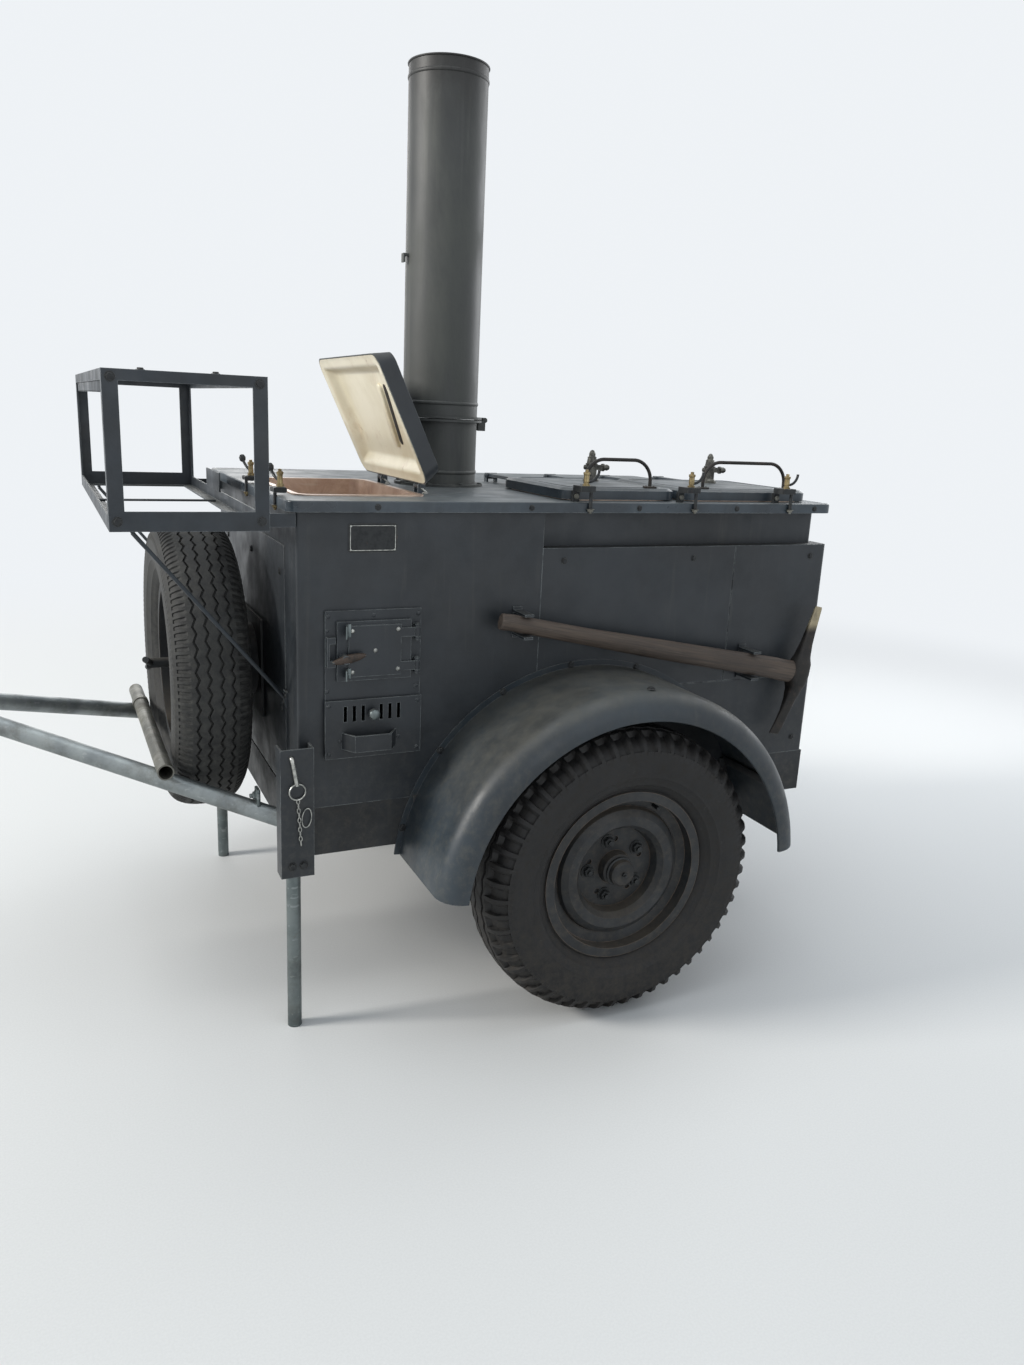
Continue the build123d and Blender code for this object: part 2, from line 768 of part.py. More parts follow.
# Top plate: a folded sheet with rounded corners, openings for pan, kettles and chimney, and hinge lugs
plate_length = top_front_x - top_rear_x
plate_centre_x = (top_front_x + top_rear_x) / 2
opening_gap = 1
with BuildPart() as top_plate:
    with BuildSketch(Plane.XY.offset(top_z - top_skirt)):
        with Locations((plate_centre_x, 0)):
            RectangleRounded(plate_length, 2 * top_half, top_corner)
    extrude(amount=top_skirt)
    fillet(top_plate.faces().sort_by(Axis.Z)[-1].edges(), 4)
    with BuildSketch(Plane.XY.offset(top_z - top_skirt)):
        with Locations((plate_centre_x, 0)):
            RectangleRounded(
                plate_length - 2 * top_sheet, 2 * top_half - 2 * top_sheet, top_corner - top_sheet
            )
    extrude(amount=top_skirt - top_sheet, mode=Mode.SUBTRACT)
    openings = [(pan_low, pan_high, pan_corner)]
    openings += [(low, high, kettle_corner) for low, high in kettle_boxes.values()]
    for low, high, corner in openings:
        with BuildSketch(Plane.XY.offset(top_z - top_skirt)):
            with Locations(((low[0] + high[0]) / 2, (low[1] + high[1]) / 2)):
                RectangleRounded(
                    high[0] - low[0] + 2 * opening_gap,
                    high[1] - low[1] + 2 * opening_gap,
                    corner + opening_gap,
                )
        extrude(amount=2 * top_skirt, mode=Mode.SUBTRACT)
    with BuildSketch(Plane.XY.offset(top_z - top_skirt)):
        with Locations((chimney_x, 0)):
            Circle(chimney_radius - chimney_wall)
    extrude(amount=2 * top_skirt, mode=Mode.SUBTRACT)
    for knuckle_y in pan_knuckles_y:
        hinge_lugs((pan_hinge_x, knuckle_y, pan_hinge_z), (0, 1, 0), top_z)
    for centre_x, length in kettle_places.values():
        for sign in (-1, 1):
            hinge_lugs(
                (centre_x + sign * knuckle_spread, kettle_hinge_y, kettle_hinge_z), (1, 0, 0), top_z
            )
keep(top_plate, "top_plate")

# Pan lid, drawn in its own tilted plane through the hinge: u forward, v to the left, w outwards
tilt = radians(lid_angle)
lid_plane = Plane(
    origin=(pan_hinge_x, pan_centre_y, pan_hinge_z),
    x_dir=(cos(tilt), 0, sin(tilt)),
    z_dir=(-sin(tilt), 0, cos(tilt)),
)
hinge_plane = Plane(origin=lid_plane.origin, x_dir=lid_plane.x_dir, z_dir=(0, -1, 0))
lid_start = pan_hinge_back + pan_flange - lid_overlap
lid_length = pan_length + 2 * lid_overlap
lid_width = pan_width + 2 * lid_overlap
lid_middle = (lid_start + lid_length / 2, 0)
lid_low = pan_wall + lid_gap - pan_hinge_height
lid_sheet = 2.5
lid_crown = 14
liner_gap = 2
liner_sheet = 2
with BuildPart() as pan_lid:
    with BuildSketch(lid_plane.offset(lid_low)):
        with Locations(lid_middle):
            RectangleRounded(lid_length, lid_width, lid_corner)
    with BuildSketch(lid_plane.offset(lid_low + lid_depth)):
        with Locations(lid_middle):
            RectangleRounded(lid_length - 2 * lid_crown, lid_width - 2 * lid_crown, lid_corner - 10)
    loft()
    with BuildSketch(lid_plane.offset(lid_low)):
        with Locations(lid_middle):
            RectangleRounded(
                lid_length - 2 * lid_sheet, lid_width - 2 * lid_sheet, lid_corner - lid_sheet
            )
    with BuildSketch(lid_plane.offset(lid_low + lid_depth - lid_sheet)):
        with Locations(lid_middle):
            inset = 2 * (lid_crown + lid_sheet)
            RectangleRounded(lid_length - inset, lid_width - inset, lid_corner - 10 - lid_sheet)
    loft(mode=Mode.SUBTRACT)
    for knuckle_y in pan_knuckles_y:
        offset_y = knuckle_y - pan_centre_y
        with BuildSketch(hinge_plane.offset(-offset_y - knuckle_length / 2)):
            Circle(knuckle_radius)
            with Locations((lid_start / 2 + 6, knuckle_radius / 2 + 1)):
                Rectangle(lid_start + 12, knuckle_radius - 2)
        extrude(amount=knuckle_length)
    with BuildSketch(hinge_plane.offset(-lid_width)):
        Circle(knuckle_bore)
    extrude(amount=2 * lid_width, mode=Mode.SUBTRACT)
keep(pan_lid, "pan_lid")

# Enamelled liner of the pan lid: a shallow dish with a pressed pad, closing the shell's mouth
liner_outer = (lid_length - 2 * lid_sheet - liner_gap, lid_width - 2 * lid_sheet - liner_gap)
dish_depth = 24
dish_inset = 30
with BuildPart() as pan_lid_liner:
    with BuildSketch(lid_plane.offset(lid_low)):
        with Locations(lid_middle):
            RectangleRounded(*liner_outer, lid_corner - lid_sheet)
    extrude(amount=liner_sheet)
    with BuildSketch(lid_plane.offset(lid_low + liner_sheet)):
        with Locations(lid_middle):
            RectangleRounded(liner_outer[0] - 36, liner_outer[1] - 36, lid_corner)
    with BuildSketch(lid_plane.offset(lid_low + dish_depth + liner_sheet)):
        with Locations(lid_middle):
            inset = 2 * (18 + dish_inset)
            RectangleRounded(liner_outer[0] - inset, liner_outer[1] - inset, lid_corner - 14)
    loft()
    with BuildSketch(lid_plane.offset(lid_low)):
        with Locations(lid_middle):
            inset = 36 + 2 * liner_sheet
            RectangleRounded(liner_outer[0] - inset, liner_outer[1] - inset, lid_corner - liner_sheet)
    with BuildSketch(lid_plane.offset(lid_low + dish_depth)):
        with Locations(lid_middle):
            inset = 2 * (18 + dish_inset + liner_sheet)
            RectangleRounded(liner_outer[0] - inset, liner_outer[1] - inset, lid_corner - 16)
    loft(mode=Mode.SUBTRACT)
    with BuildSketch(lid_plane.offset(lid_low + dish_depth - 5)):
        with Locations((lid_middle[0], -liner_outer[1] / 8)):
            SlotOverall(liner_outer[0] * 0.62, 62)
    extrude(amount=5)
keep(pan_lid_liner, "pan_lid_liner")

# Kettle lids: crowned covers, each on two long arms with their knuckles
kettle_lid_low = top_z + kettle_wall
lid_top_z = kettle_lid_low + kettle_lid_thickness
lid_edge_z = lid_top_z - kettle_lid_edge
lid_left_y = kettle_centre_y + kettle_width / 2 + kettle_lid_over
lid_right_y = kettle_centre_y - kettle_width / 2 - kettle_lid_over
crown_inset = 10
arm_thickness = 10
arm_under_lid = 40
for place, (centre_x, kettle_length) in kettle_places.items():
    length = kettle_length + 2 * kettle_lid_over
    width = lid_left_y - lid_right_y
    with BuildPart() as kettle_lid:
        with BuildSketch(Plane.XY.offset(kettle_lid_low)):
            with Locations((centre_x, kettle_centre_y)):
                RectangleRounded(length, width, kettle_lid_corner)
        extrude(amount=lid_edge_z - kettle_lid_low)
        with BuildSketch(Plane.XY.offset(lid_edge_z)):
            with Locations((centre_x, kettle_centre_y)):
                RectangleRounded(length, width, kettle_lid_corner)
        with BuildSketch(Plane.XY.offset(lid_top_z)):
            with Locations((centre_x, kettle_centre_y)):
                RectangleRounded(
                    length - 2 * crown_inset, width - 2 * crown_inset, kettle_lid_corner - crown_inset
                )
        loft()
        with BuildSketch(Plane.XY.offset(kettle_lid_low)):
            with Locations((centre_x, kettle_centre_y)):
                RectangleRounded(
                    length - 2 * lid_sheet, width - 2 * lid_sheet, kettle_lid_corner - lid_sheet
                )
        extrude(amount=lid_edge_z - kettle_lid_low - lid_sheet, mode=Mode.SUBTRACT)
        for sign in (-1, 1):
            knuckle_x = centre_x + sign * knuckle_spread
            rod(
                (knuckle_x - knuckle_length / 2, kettle_hinge_y, kettle_hinge_z),
                (knuckle_x + knuckle_length / 2, kettle_hinge_y, kettle_hinge_z),
                knuckle_radius,
            )
            block(
                (knuckle_x - knuckle_length / 2, kettle_hinge_y, lid_edge_z - arm_thickness),
                (knuckle_x + knuckle_length / 2, lid_right_y + arm_under_lid, lid_edge_z - 1),
            )
        with BuildSketch(Plane.YZ.offset(centre_x)):
            with Locations((kettle_hinge_y, kettle_hinge_z)):
                Circle(knuckle_bore)
        extrude(amount=length, both=True, mode=Mode.SUBTRACT)
    keep(kettle_lid, f"kettle_lid_{place}")

# Fittings of each kettle lid: a bow handle along its left edge, and a relief valve with a side outlet
bow_y = lid_left_y - 26
bow_end_margin = 70
bow_height = 70
bow_radius = 4.5
bow_bend = 52
bow_foot = 5
valve_from_middle = 51
valve_y = lid_left_y - 260
valve_outline = (
    (0, 0),
    (20, 0),
    (20, 7),
    (15, 12),
    (15, 44),
    (12, 62),
    (9, 68),
    (9, 75),
    (5, 82),
    (0, 84),
)
valve_outlet = (36, 14, 30, 44)  # reach, width, low and high edge above the lid
for place, (centre_x, kettle_length) in kettle_places.items():
    bow_half = kettle_length / 2 + kettle_lid_over - bow_end_margin
    with BuildPart() as kettle_bow:
        with BuildLine(Plane.XZ.offset(-bow_y)) as bow_line:
            FilletPolyline(
                (centre_x - bow_half, lid_top_z + bow_foot - 2),
                (centre_x - bow_half, lid_top_z + bow_height),
                (centre_x + bow_half, lid_top_z + bow_height),
                (centre_x + bow_half, lid_top_z + bow_foot - 2),
                radius=bow_bend,
            )
        with BuildSketch(Plane(origin=bow_line.line @ 0, z_dir=bow_line.line % 0)):
            Circle(bow_radius)
        sweep(path=bow_line.line)
        for sign in (-1, 1):
            with BuildSketch(Plane.XY.offset(lid_top_z)):
                with Locations((centre_x + sign * bow_half, bow_y)):
                    RectangleRounded(34, 22, 6)
            extrude(amount=bow_foot)
    keep(kettle_bow, f"lid_fittings_{place}")

    valve_x = centre_x - valve_from_middle
    outlet_reach, outlet_width, outlet_low, outlet_high = valve_outlet
    with BuildPart() as relief_valve:
        with BuildSketch(Plane.XZ.offset(-valve_y)):
            with BuildLine():
                Polyline(*[(valve_x + r, lid_top_z + up) for r, up in valve_outline], close=True)
            make_face()
        revolve(axis=Axis((valve_x, valve_y, 0), (0, 0, -1)))
        block(
            (valve_x - outlet_reach, valve_y - outlet_width / 2, lid_top_z + outlet_low),
            (valve_x, valve_y + outlet_width / 2, lid_top_z + outlet_high),
        )
    keep(relief_valve, f"relief_valve_{place}")

# Lid clamps: a drilled lug on the plate carries a jaw, a swing bolt, a sleeve nut and a curved lever
jaw_half = 20
jaw_back_y = top_half - 30
jaw_low_z = top_z + 26
jaw_high_z = top_z + 40
clamp_bolt_y = top_half + 6
with BuildPart() as lid_clamps:
    for index in range(clamp_count):
        clamp_x = clamp_rear_x + index * clamp_pitch
        block((clamp_x + 5, jaw_back_y, top_z), (clamp_x + 24, jaw_back_y + 8, jaw_low_z + 1))
        block(
            (clamp_x - jaw_half, jaw_back_y, jaw_low_z),
            (clamp_x + jaw_half, clamp_bolt_y + 7, jaw_high_z),
        )
        rod(
            (clamp_x - 12, clamp_bolt_y, top_z - 14),
            (clamp_x - 12, clamp_bolt_y, jaw_low_z + 4),
            4.5,
        )
        sleeve_y = jaw_back_y + 22
        rod((clamp_x - 4, sleeve_y, jaw_high_z - 2), (clamp_x - 4, sleeve_y, jaw_high_z + 32), 6)
        with BuildLine(Plane.XZ.offset(-sleeve_y)) as lever_line:
            ThreePointArc(
                (clamp_x - 4, jaw_high_z + 10),
                (clamp_x - 28, jaw_high_z + 16),
                (clamp_x - 38, jaw_high_z + 38),
            )
        with BuildSketch(Plane(origin=lever_line.line @ 0, z_dir=lever_line.line % 0)):
            Circle(3.5)
        sweep(path=lever_line.line)
keep(lid_clamps, "lid_clamps")

# Chimney: a fixed stub on the top plate and a tall pipe that folds back on a hinge
collar_gap = 2
chimney_inner = chimney_radius - chimney_wall
chimney_hinge_x = chimney_x - chimney_collar_radius - 7
chimney_hinge_z = chimney_joint_z - collar_gap / 2
chimney_knuckle = 7
chimney_knuckle_half = 24
with BuildPart() as chimney_stub:
    rod((chimney_x, 0, top_z), (chimney_x, 0, chimney_joint_z - collar_gap), chimney_radius)
    rod((chimney_x, 0, top_z), (chimney_x, 0, top_z + chimney_collar), chimney_collar_radius + 8)
    rod(
        (chimney_x, 0, chimney_joint_z - collar_gap - chimney_collar),
        (chimney_x, 0, chimney_joint_z - collar_gap),
        chimney_collar_radius,
    )
    with BuildSketch(Plane.XY.offset(top_z - 1)):
        with Locations((chimney_x, 0)):
            Circle(chimney_inner)
    extrude(amount=chimney_joint_z - top_z, mode=Mode.SUBTRACT)
    for sign in (-1, 1):
        near, far = sorted((sign * (chimney_knuckle_half + 1), sign * (chimney_knuckle_half + 8)))
        block(
            (chimney_hinge_x - 1, near, chimney_joint_z - 30),
            (chimney_x - chimney_radius, far, chimney_joint_z - collar_gap - 1),
        )
        rod(
            (chimney_hinge_x, near, chimney_hinge_z),
            (chimney_hinge_x, far, chimney_hinge_z),
            chimney_knuckle,
        )
    rod(
        (chimney_hinge_x, -chimney_knuckle_half - 10, chimney_hinge_z),
        (chimney_hinge_x, chimney_knuckle_half + 10, chimney_hinge_z),
        3,
    )
keep(chimney_stub, "chimney_stub")

with BuildPart() as chimney_pipe:
    rod((chimney_x, 0, chimney_joint_z), (chimney_x, 0, chimney_top_z), chimney_radius)
    fillet(chimney_pipe.faces().sort_by(Axis.Z)[-1].edges(), chimney_wall)
    rod(
        (chimney_x, 0, chimney_joint_z),
        (chimney_x, 0, chimney_joint_z + chimney_collar),
        chimney_collar_radius,
    )
    with BuildSketch(Plane.XY.offset(chimney_joint_z - 1)):
        with Locations((chimney_x, 0)):
            Circle(chimney_inner)
    extrude(amount=chimney_top_z - chimney_joint_z + 2, mode=Mode.SUBTRACT)
    rod(
        (chimney_hinge_x, -chimney_knuckle_half, chimney_hinge_z),
        (chimney_hinge_x, chimney_knuckle_half, chimney_hinge_z),
        chimney_knuckle,
    )
    block(
        (chimney_hinge_x - 3, -chimney_knuckle_half, chimney_joint_z),
        (chimney_x - chimney_radius, chimney_knuckle_half, chimney_joint_z + chimney_collar),
    )
    with BuildSketch(Plane.XZ):
        with Locations((chimney_hinge_x, chimney_hinge_z)):
            Circle(3 + running_clearance)
    extrude(amount=2 * chimney_knuckle_half, both=True, mode=Mode.SUBTRACT)
    # Carrying hook high on the front of the pipe
    hook_reach, hook_width, hook_height = chimney_hook
    hook_x = chimney_x + chimney_radius
    block(
        (hook_x - 1, -hook_width / 2, chimney_hook_z - 6),
        (hook_x + hook_reach, hook_width / 2, chimney_hook_z),
    )
    block(
        (hook_x + hook_reach - 5, -hook_width / 2, chimney_hook_z - hook_height),
        (hook_x + hook_reach, hook_width / 2, chimney_hook_z),
    )
keep(chimney_pipe, "chimney_pipe")

# Door frame on the left side: a riveted plate with two openings and the hinge lugs of the fire door
frame_out = body_half + door_frame_thickness
fire_hinge_x = frame_rear_x + 12
fire_hinge_y = frame_out + door_gap + knuckle_radius
fire_knuckles_z = (fire_opening_z[0] + 22, fire_opening_z[1] - 22)
fire_middle_z = (fire_opening_z[0] + fire_opening_z[1]) / 2
with BuildPart() as door_frame:
    block((frame_rear_x, body_half, frame_low_z), (frame_front_x, frame_out, frame_high_z))
    for (low_x, high_x), (low_z, high_z) in door_openings:
        block((low_x, body_half - 1, low_z), (high_x, frame_out + 1, high_z), mode=Mode.SUBTRACT)
    for knuckle_z in fire_knuckles_z:
        for sign in (-1, 1):
            near, far = sorted(
                (sign * (knuckle_length / 2 + hinge_side_gap), sign * lug_reach)
            )
            block(
                (fire_hinge_x - 7, frame_out, knuckle_z + near),
                (fire_hinge_x + 7, fire_hinge_y, knuckle_z + far),
            )
            rod(
                (fire_hinge_x, fire_hinge_y, knuckle_z + near),
                (fire_hinge_x, fire_hinge_y, knuckle_z + far),
                7,
            )
        rod(
            (fire_hinge_x, fire_hinge_y, knuckle_z - lug_reach - 3),
            (fire_hinge_x, fire_hinge_y, knuckle_z + lug_reach + 3),
            hinge_pin_radius - 1,
        )
    # Keeper of the latch at the front edge
    keeper_rear_x = fire_opening_x[1] + door_lap + 4
    block(
        (keeper_rear_x, frame_out, fire_middle_z - 35),
        (frame_front_x - 2, frame_out + 12, fire_middle_z + 35),
    )
    block(
        (keeper_rear_x, frame_out, fire_middle_z - 20),
        (frame_front_x - 8, frame_out + 13, fire_middle_z + 20),
        mode=Mode.SUBTRACT,
    )
keep(door_frame, "door_frame_front")

# Fire door: a plate with a smaller plate riveted on it, two straps with knuckles and a latch lever
door_inside_y = frame_out + door_gap
door_outside_y = door_inside_y + door_plate
door_low_x, door_high_x = fire_opening_x[0] - door_lap, fire_opening_x[1] + door_lap
door_low_z, door_high_z = fire_opening_z[0] - door_lap, fire_opening_z[1] + door_lap
with BuildPart() as fire_door:
    block((door_low_x, door_inside_y, door_low_z), (door_high_x, door_outside_y, door_high_z))
    block(
        (door_low_x + 26, door_outside_y, door_low_z + 10),
        (door_high_x - 26, door_outside_y + door_inner_plate, door_high_z - 10),
    )
    for knuckle_z in fire_knuckles_z:
        rod(
            (fire_hinge_x, fire_hinge_y, knuckle_z - knuckle_length / 2),
            (fire_hinge_x, fire_hinge_y, knuckle_z + knuckle_length / 2),
            7,
        )
        block(
            (fire_hinge_x, fire_hinge_y - 2, knuckle_z - knuckle_length / 2),
            (door_low_x + 26, door_outside_y + door_inner_plate, knuckle_z + knuckle_length / 2),
        )
    with BuildSketch(Plane.XY.offset(door_low_z)):
        with Locations((fire_hinge_x, fire_hinge_y)):
            Circle(hinge_pin_radius - 1 + running_clearance)
    extrude(amount=door_high_z - door_low_z, mode=Mode.SUBTRACT)
    # Latch boss and its lens-shaped lever
    latch_x, latch_z = door_high_x - 16, fire_middle_z - 14
    rod((latch_x, door_outside_y, latch_z), (latch_x, door_outside_y + 26, latch_z), 10)
    tip, tail = (latch_x + 32, latch_z - 6), (latch_x - 46, latch_z + 9)
    with BuildSketch(Plane.XZ.offset(-(door_outside_y + 24))):
        with BuildLine():
            ThreePointArc(tip, (latch_x - 5, latch_z + 10), tail)
            ThreePointArc(tail, (latch_x - 9, latch_z - 7), tip)
        make_face()
    extrude(amount=10)
keep(fire_door, "fire_door")

# Ash drawer: a slotted front with an air slide knob and a bent strap handle, and the tray behind it
front_low_x, front_high_x = ash_opening_x[0] - drawer_lap[0], ash_opening_x[1] + drawer_lap[0]
front_low_z, front_high_z = ash_opening_z[0] - drawer_lap[1], ash_opening_z[1] + drawer_lap[1]
tray_low_x = ash_opening_x[0] + drawer_clearance
tray_high_x = ash_opening_x[1] - drawer_clearance
tray_low_z = ash_opening_z[0] + drawer_clearance
tray_high_z = ash_opening_z[0] + 92
tray_back_y = door_inside_y - drawer_length
slot_count = 3
slot_pitch = 21.5
slot_start = 22
slot_half = (4, 19)
slot_z = ash_opening_z[1] - 22
knob_x = (ash_opening_x[0] + ash_opening_x[1]) / 2 + 4
handle_low_z = ash_opening_z[0] + 11
handle_height = 40
handle_half = 67
handle_face_half = 44
handle_out = 35
handle_sheet = 4
with BuildPart() as ash_drawer:
    block((front_low_x, door_inside_y, front_low_z), (front_high_x, door_outside_y, front_high_z))
    block((tray_low_x, tray_back_y, tray_low_z), (tray_high_x, door_inside_y, tray_high_z))
    block(
        (tray_low_x + drawer_wall, tray_back_y + drawer_wall, tray_low_z + drawer_wall),
        (tray_high_x - drawer_wall, door_inside_y, tray_high_z + 1),
        mode=Mode.SUBTRACT,
    )
    for side in (-1, 1):
        for index in range(slot_count):
            slot_x = knob_x + side * (slot_start + index * slot_pitch)
            block(
                (slot_x - slot_half[0], door_inside_y - 1, slot_z - slot_half[1]),
                (slot_x + slot_half[0], door_outside_y + 1, slot_z + slot_half[1]),
                mode=Mode.SUBTRACT,
            )
    rod((knob_x, door_outside_y, slot_z), (knob_x, door_outside_y + 12, slot_z), 5)
    rod((knob_x, door_outside_y + 12, slot_z), (knob_x, door_outside_y + 20, slot_z), 13)
    handle_y = door_outside_y + handle_out
    with BuildSketch(Plane.XY.offset(handle_low_z)):
        with BuildLine():
            Polyline(
                (knob_x + 7 - handle_half, door_outside_y - 1),
                (knob_x + 7 - handle_face_half, handle_y),
                (knob_x + 7 + handle_face_half, handle_y),
                (knob_x + 7 + handle_half, door_outside_y - 1),
                (knob_x + 7 + handle_half - handle_sheet, door_outside_y - 1),
                (knob_x + 7 + handle_face_half - handle_sheet, handle_y - handle_sheet),
                (knob_x + 7 - handle_face_half + handle_sheet, handle_y - handle_sheet),
                (knob_x + 7 - handle_half + handle_sheet, door_outside_y - 1),
                close=True,
            )
        make_face()
    extrude(amount=handle_height)
keep(ash_drawer, "ash_drawer")

# Rear door frame with the two doors of the kettle fire, hinged at their right edges
rear_out_x = rear_wall_x - door_frame_thickness
rear_low_z, rear_high_z = rear_ash_z[0] - 22, rear_fire_z[1] + 22
rear_hinge_y = rear_door_centre_y - rear_opening_half - door_lap - 12
rear_hinge_x = rear_out_x - door_gap - knuckle_radius
rear_knuckles = {
    "rear_fire_door": (rear_fire_z[0] + 26, rear_fire_z[1] - 26),
    "rear_ash_door": (rear_ash_z[0] + 20, rear_ash_z[1] - 20),
}
rear_door_z = {"rear_fire_door": rear_fire_z, "rear_ash_door": rear_ash_z}
with BuildPart() as rear_frame:
    block(
        (rear_out_x, rear_door_centre_y - rear_frame_half, rear_low_z),
        (rear_wall_x, rear_door_centre_y + rear_frame_half, rear_high_z),
    )
    for low_z, high_z in rear_openings:
        block(
            (rear_out_x - 1, rear_door_centre_y - rear_opening_half, low_z),
            (rear_wall_x + 1, rear_door_centre_y + rear_opening_half, high_z),
            mode=Mode.SUBTRACT,
        )
    for knuckles_z in rear_knuckles.values():
        for knuckle_z in knuckles_z:
            for sign in (-1, 1):
                near, far = sorted(
                    (sign * (knuckle_length / 2 + hinge_side_gap), sign * lug_reach)
                )
                block(
                    (rear_hinge_x, rear_hinge_y - 7, knuckle_z + near),
                    (rear_out_x, rear_hinge_y + 7, knuckle_z + far),
                )
                rod(
                    (rear_hinge_x, rear_hinge_y, knuckle_z + near),
                    (rear_hinge_x, rear_hinge_y, knuckle_z + far),
                    7,
                )
            rod(
                (rear_hinge_x, rear_hinge_y, knuckle_z - lug_reach - 1),
                (rear_hinge_x, rear_hinge_y, knuckle_z + lug_reach + 1),
                hinge_pin_radius - 1,
            )
keep(rear_frame, "door_frame_rear")

rear_inside_x = rear_out_x - door_gap
rear_outside_x = rear_inside_x - door_plate
for name, knuckles_z in rear_knuckles.items():
    low_z, high_z = rear_door_z[name]
    low_y = rear_door_centre_y - rear_opening_half - door_lap
    high_y = rear_door_centre_y + rear_opening_half + door_lap
    with BuildPart() as rear_door:
        block((rear_outside_x, low_y, low_z - door_lap), (rear_inside_x, high_y, high_z + door_lap))
        block(
            (rear_outside_x - door_inner_plate, low_y + 24, low_z + 12),
            (rear_outside_x, high_y - 40, high_z - 12),
        )
        for knuckle_z in knuckles_z:
            rod(
                (rear_hinge_x, rear_hinge_y, knuckle_z - knuckle_length / 2),
                (rear_hinge_x, rear_hinge_y, knuckle_z + knuckle_length / 2),
                7,
            )
            block(
                (rear_outside_x - door_inner_plate, rear_hinge_y, knuckle_z - knuckle_length / 2),
                (rear_hinge_x + 2, low_y + 24, knuckle_z + knuckle_length / 2),
            )
        with BuildSketch(Plane.XY.offset(low_z - door_lap)):
            with Locations((rear_hinge_x, rear_hinge_y)):
                Circle(hinge_pin_radius - 1 + running_clearance)
        extrude(amount=high_z - low_z + 2 * door_lap, mode=Mode.SUBTRACT)
        rear_latch_z = (low_z + high_z) / 2
        rod(
            (rear_outside_x, high_y - 22, rear_latch_z),
            (rear_outside_x - 20, high_y - 22, rear_latch_z),
            9,
        )
        rod(
            (rear_outside_x - 15, high_y - 14, rear_latch_z),
            (rear_outside_x - 15, high_y - 96, rear_latch_z),
            6,
        )
    keep(rear_door, name)

# Blank information plate on the front left of the body
with BuildPart() as information_plate:
    with BuildSketch(Plane.XZ.offset(-body_half)):
        with Locations((axle_x + 584, 1195)):
            RectangleRounded(116, 66, 8)
    extrude(amount=-1.5)
keep(information_plate, "information_plate")

# Stands: a channel at each front corner with its web outside, and a round leg that slides in it
leg_x = stand_x + 6
leg_y = body_half + (stand_depth - stand_wall) / 2 + 0.5
guide_z = (stand_low_z + 12, leg_top_z - 40)
with BuildPart() as stand_channel_left:
    with BuildSketch(Plane.XY.offset(stand_low_z)):
        with Locations((stand_x, body_half + stand_depth / 2)):
            Rectangle(stand_width, stand_depth)
        with Locations((stand_x, body_half + (stand_depth - stand_wall) / 2)):
            Rectangle(stand_width - 2 * stand_wall, stand_depth - stand_wall, mode=Mode.SUBTRACT)
    extrude(amount=stand_high_z - stand_low_z)
    fillet(
        stand_channel_left.edges().filter_by(Axis.Y).group_by(Axis.Z)[-1].group_by(Axis.X)[-1], 3
    )
    for low_z in guide_z:
        with BuildSketch(Plane.XY.offset(low_z)):
            with Locations((stand_x, body_half + (stand_depth - stand_wall) / 2)):
                Rectangle(stand_width - 2 * stand_wall, stand_depth - stand_wall)
            with Locations((leg_x, leg_y)):
                Circle(leg_radius + running_clearance, mode=Mode.SUBTRACT)
        extrude(amount=6)
keep(both_sides(stand_channel_left), "stand_channels")

with BuildPart() as stand_leg_left:
    rod((leg_x, leg_y, 0), (leg_x, leg_y, leg_top_z), leg_radius, leg_radius - leg_wall)
    rod((leg_x, leg_y, 0), (leg_x, leg_y, 6), leg_radius)
    rod((leg_x, leg_y, leg_top_z - 6), (leg_x, leg_y, leg_top_z), leg_radius)
keep(stand_leg_left, "stand_leg_left")
keep(mirrored(stand_leg_left), "stand_leg_right")

# Tow pole: a tube with a forged eye in front and a gusset plate between the drawbar tubes behind
foot, apex = Vector(*drawbar_foot), Vector(*drawbar_apex)
pole_z = drawbar_apex[2]
with BuildPart() as tow_pole:
    rod((pole_rear_x, 0, pole_z), (pole_front_x, 0, pole_z), pole_radius, pole_radius - pole_wall)
    rod((pole_rear_x, 0, pole_z), (pole_rear_x + 6, 0, pole_z), pole_radius)
    with BuildSketch(Plane.YZ.offset(pole_front_x)):
        with Locations((0, pole_z)):
            Circle(pole_radius + 7)
    extrude(amount=14)
    with BuildSketch(Plane.YZ.offset(pole_front_x + 14)):
        with Locations((0, pole_z)):
            RectangleRounded(64, eye_height, 8)
    with BuildSketch(Plane.YZ.offset(eye_x - eye_outer_radius + 12)):
        with Locations((0, pole_z)):
            RectangleRounded(44, eye_height, 8)
    loft()
    with BuildSketch(Plane.XZ):
        with Locations((eye_x + (eye_outer_radius + eye_bore_radius) / 2, pole_z)):
            RectangleRounded(eye_outer_radius - eye_bore_radius, eye_height - 4, 9)
    revolve(axis=Axis((eye_x, 0, pole_z), (0, 0, 1)))
    rod(
        (eye_x, 0, pole_z - eye_height / 2),
        (eye_x, 0, pole_z + eye_height / 2),
        eye_bore_radius + eye_bush,
    )
    with BuildSketch(Plane.XY.offset(pole_z - eye_height)):
        with Locations((eye_x, 0)):
            Circle(eye_bore_radius)
    extrude(amount=2 * eye_height, mode=Mode.SUBTRACT)
keep(tow_pole, "tow_pole")

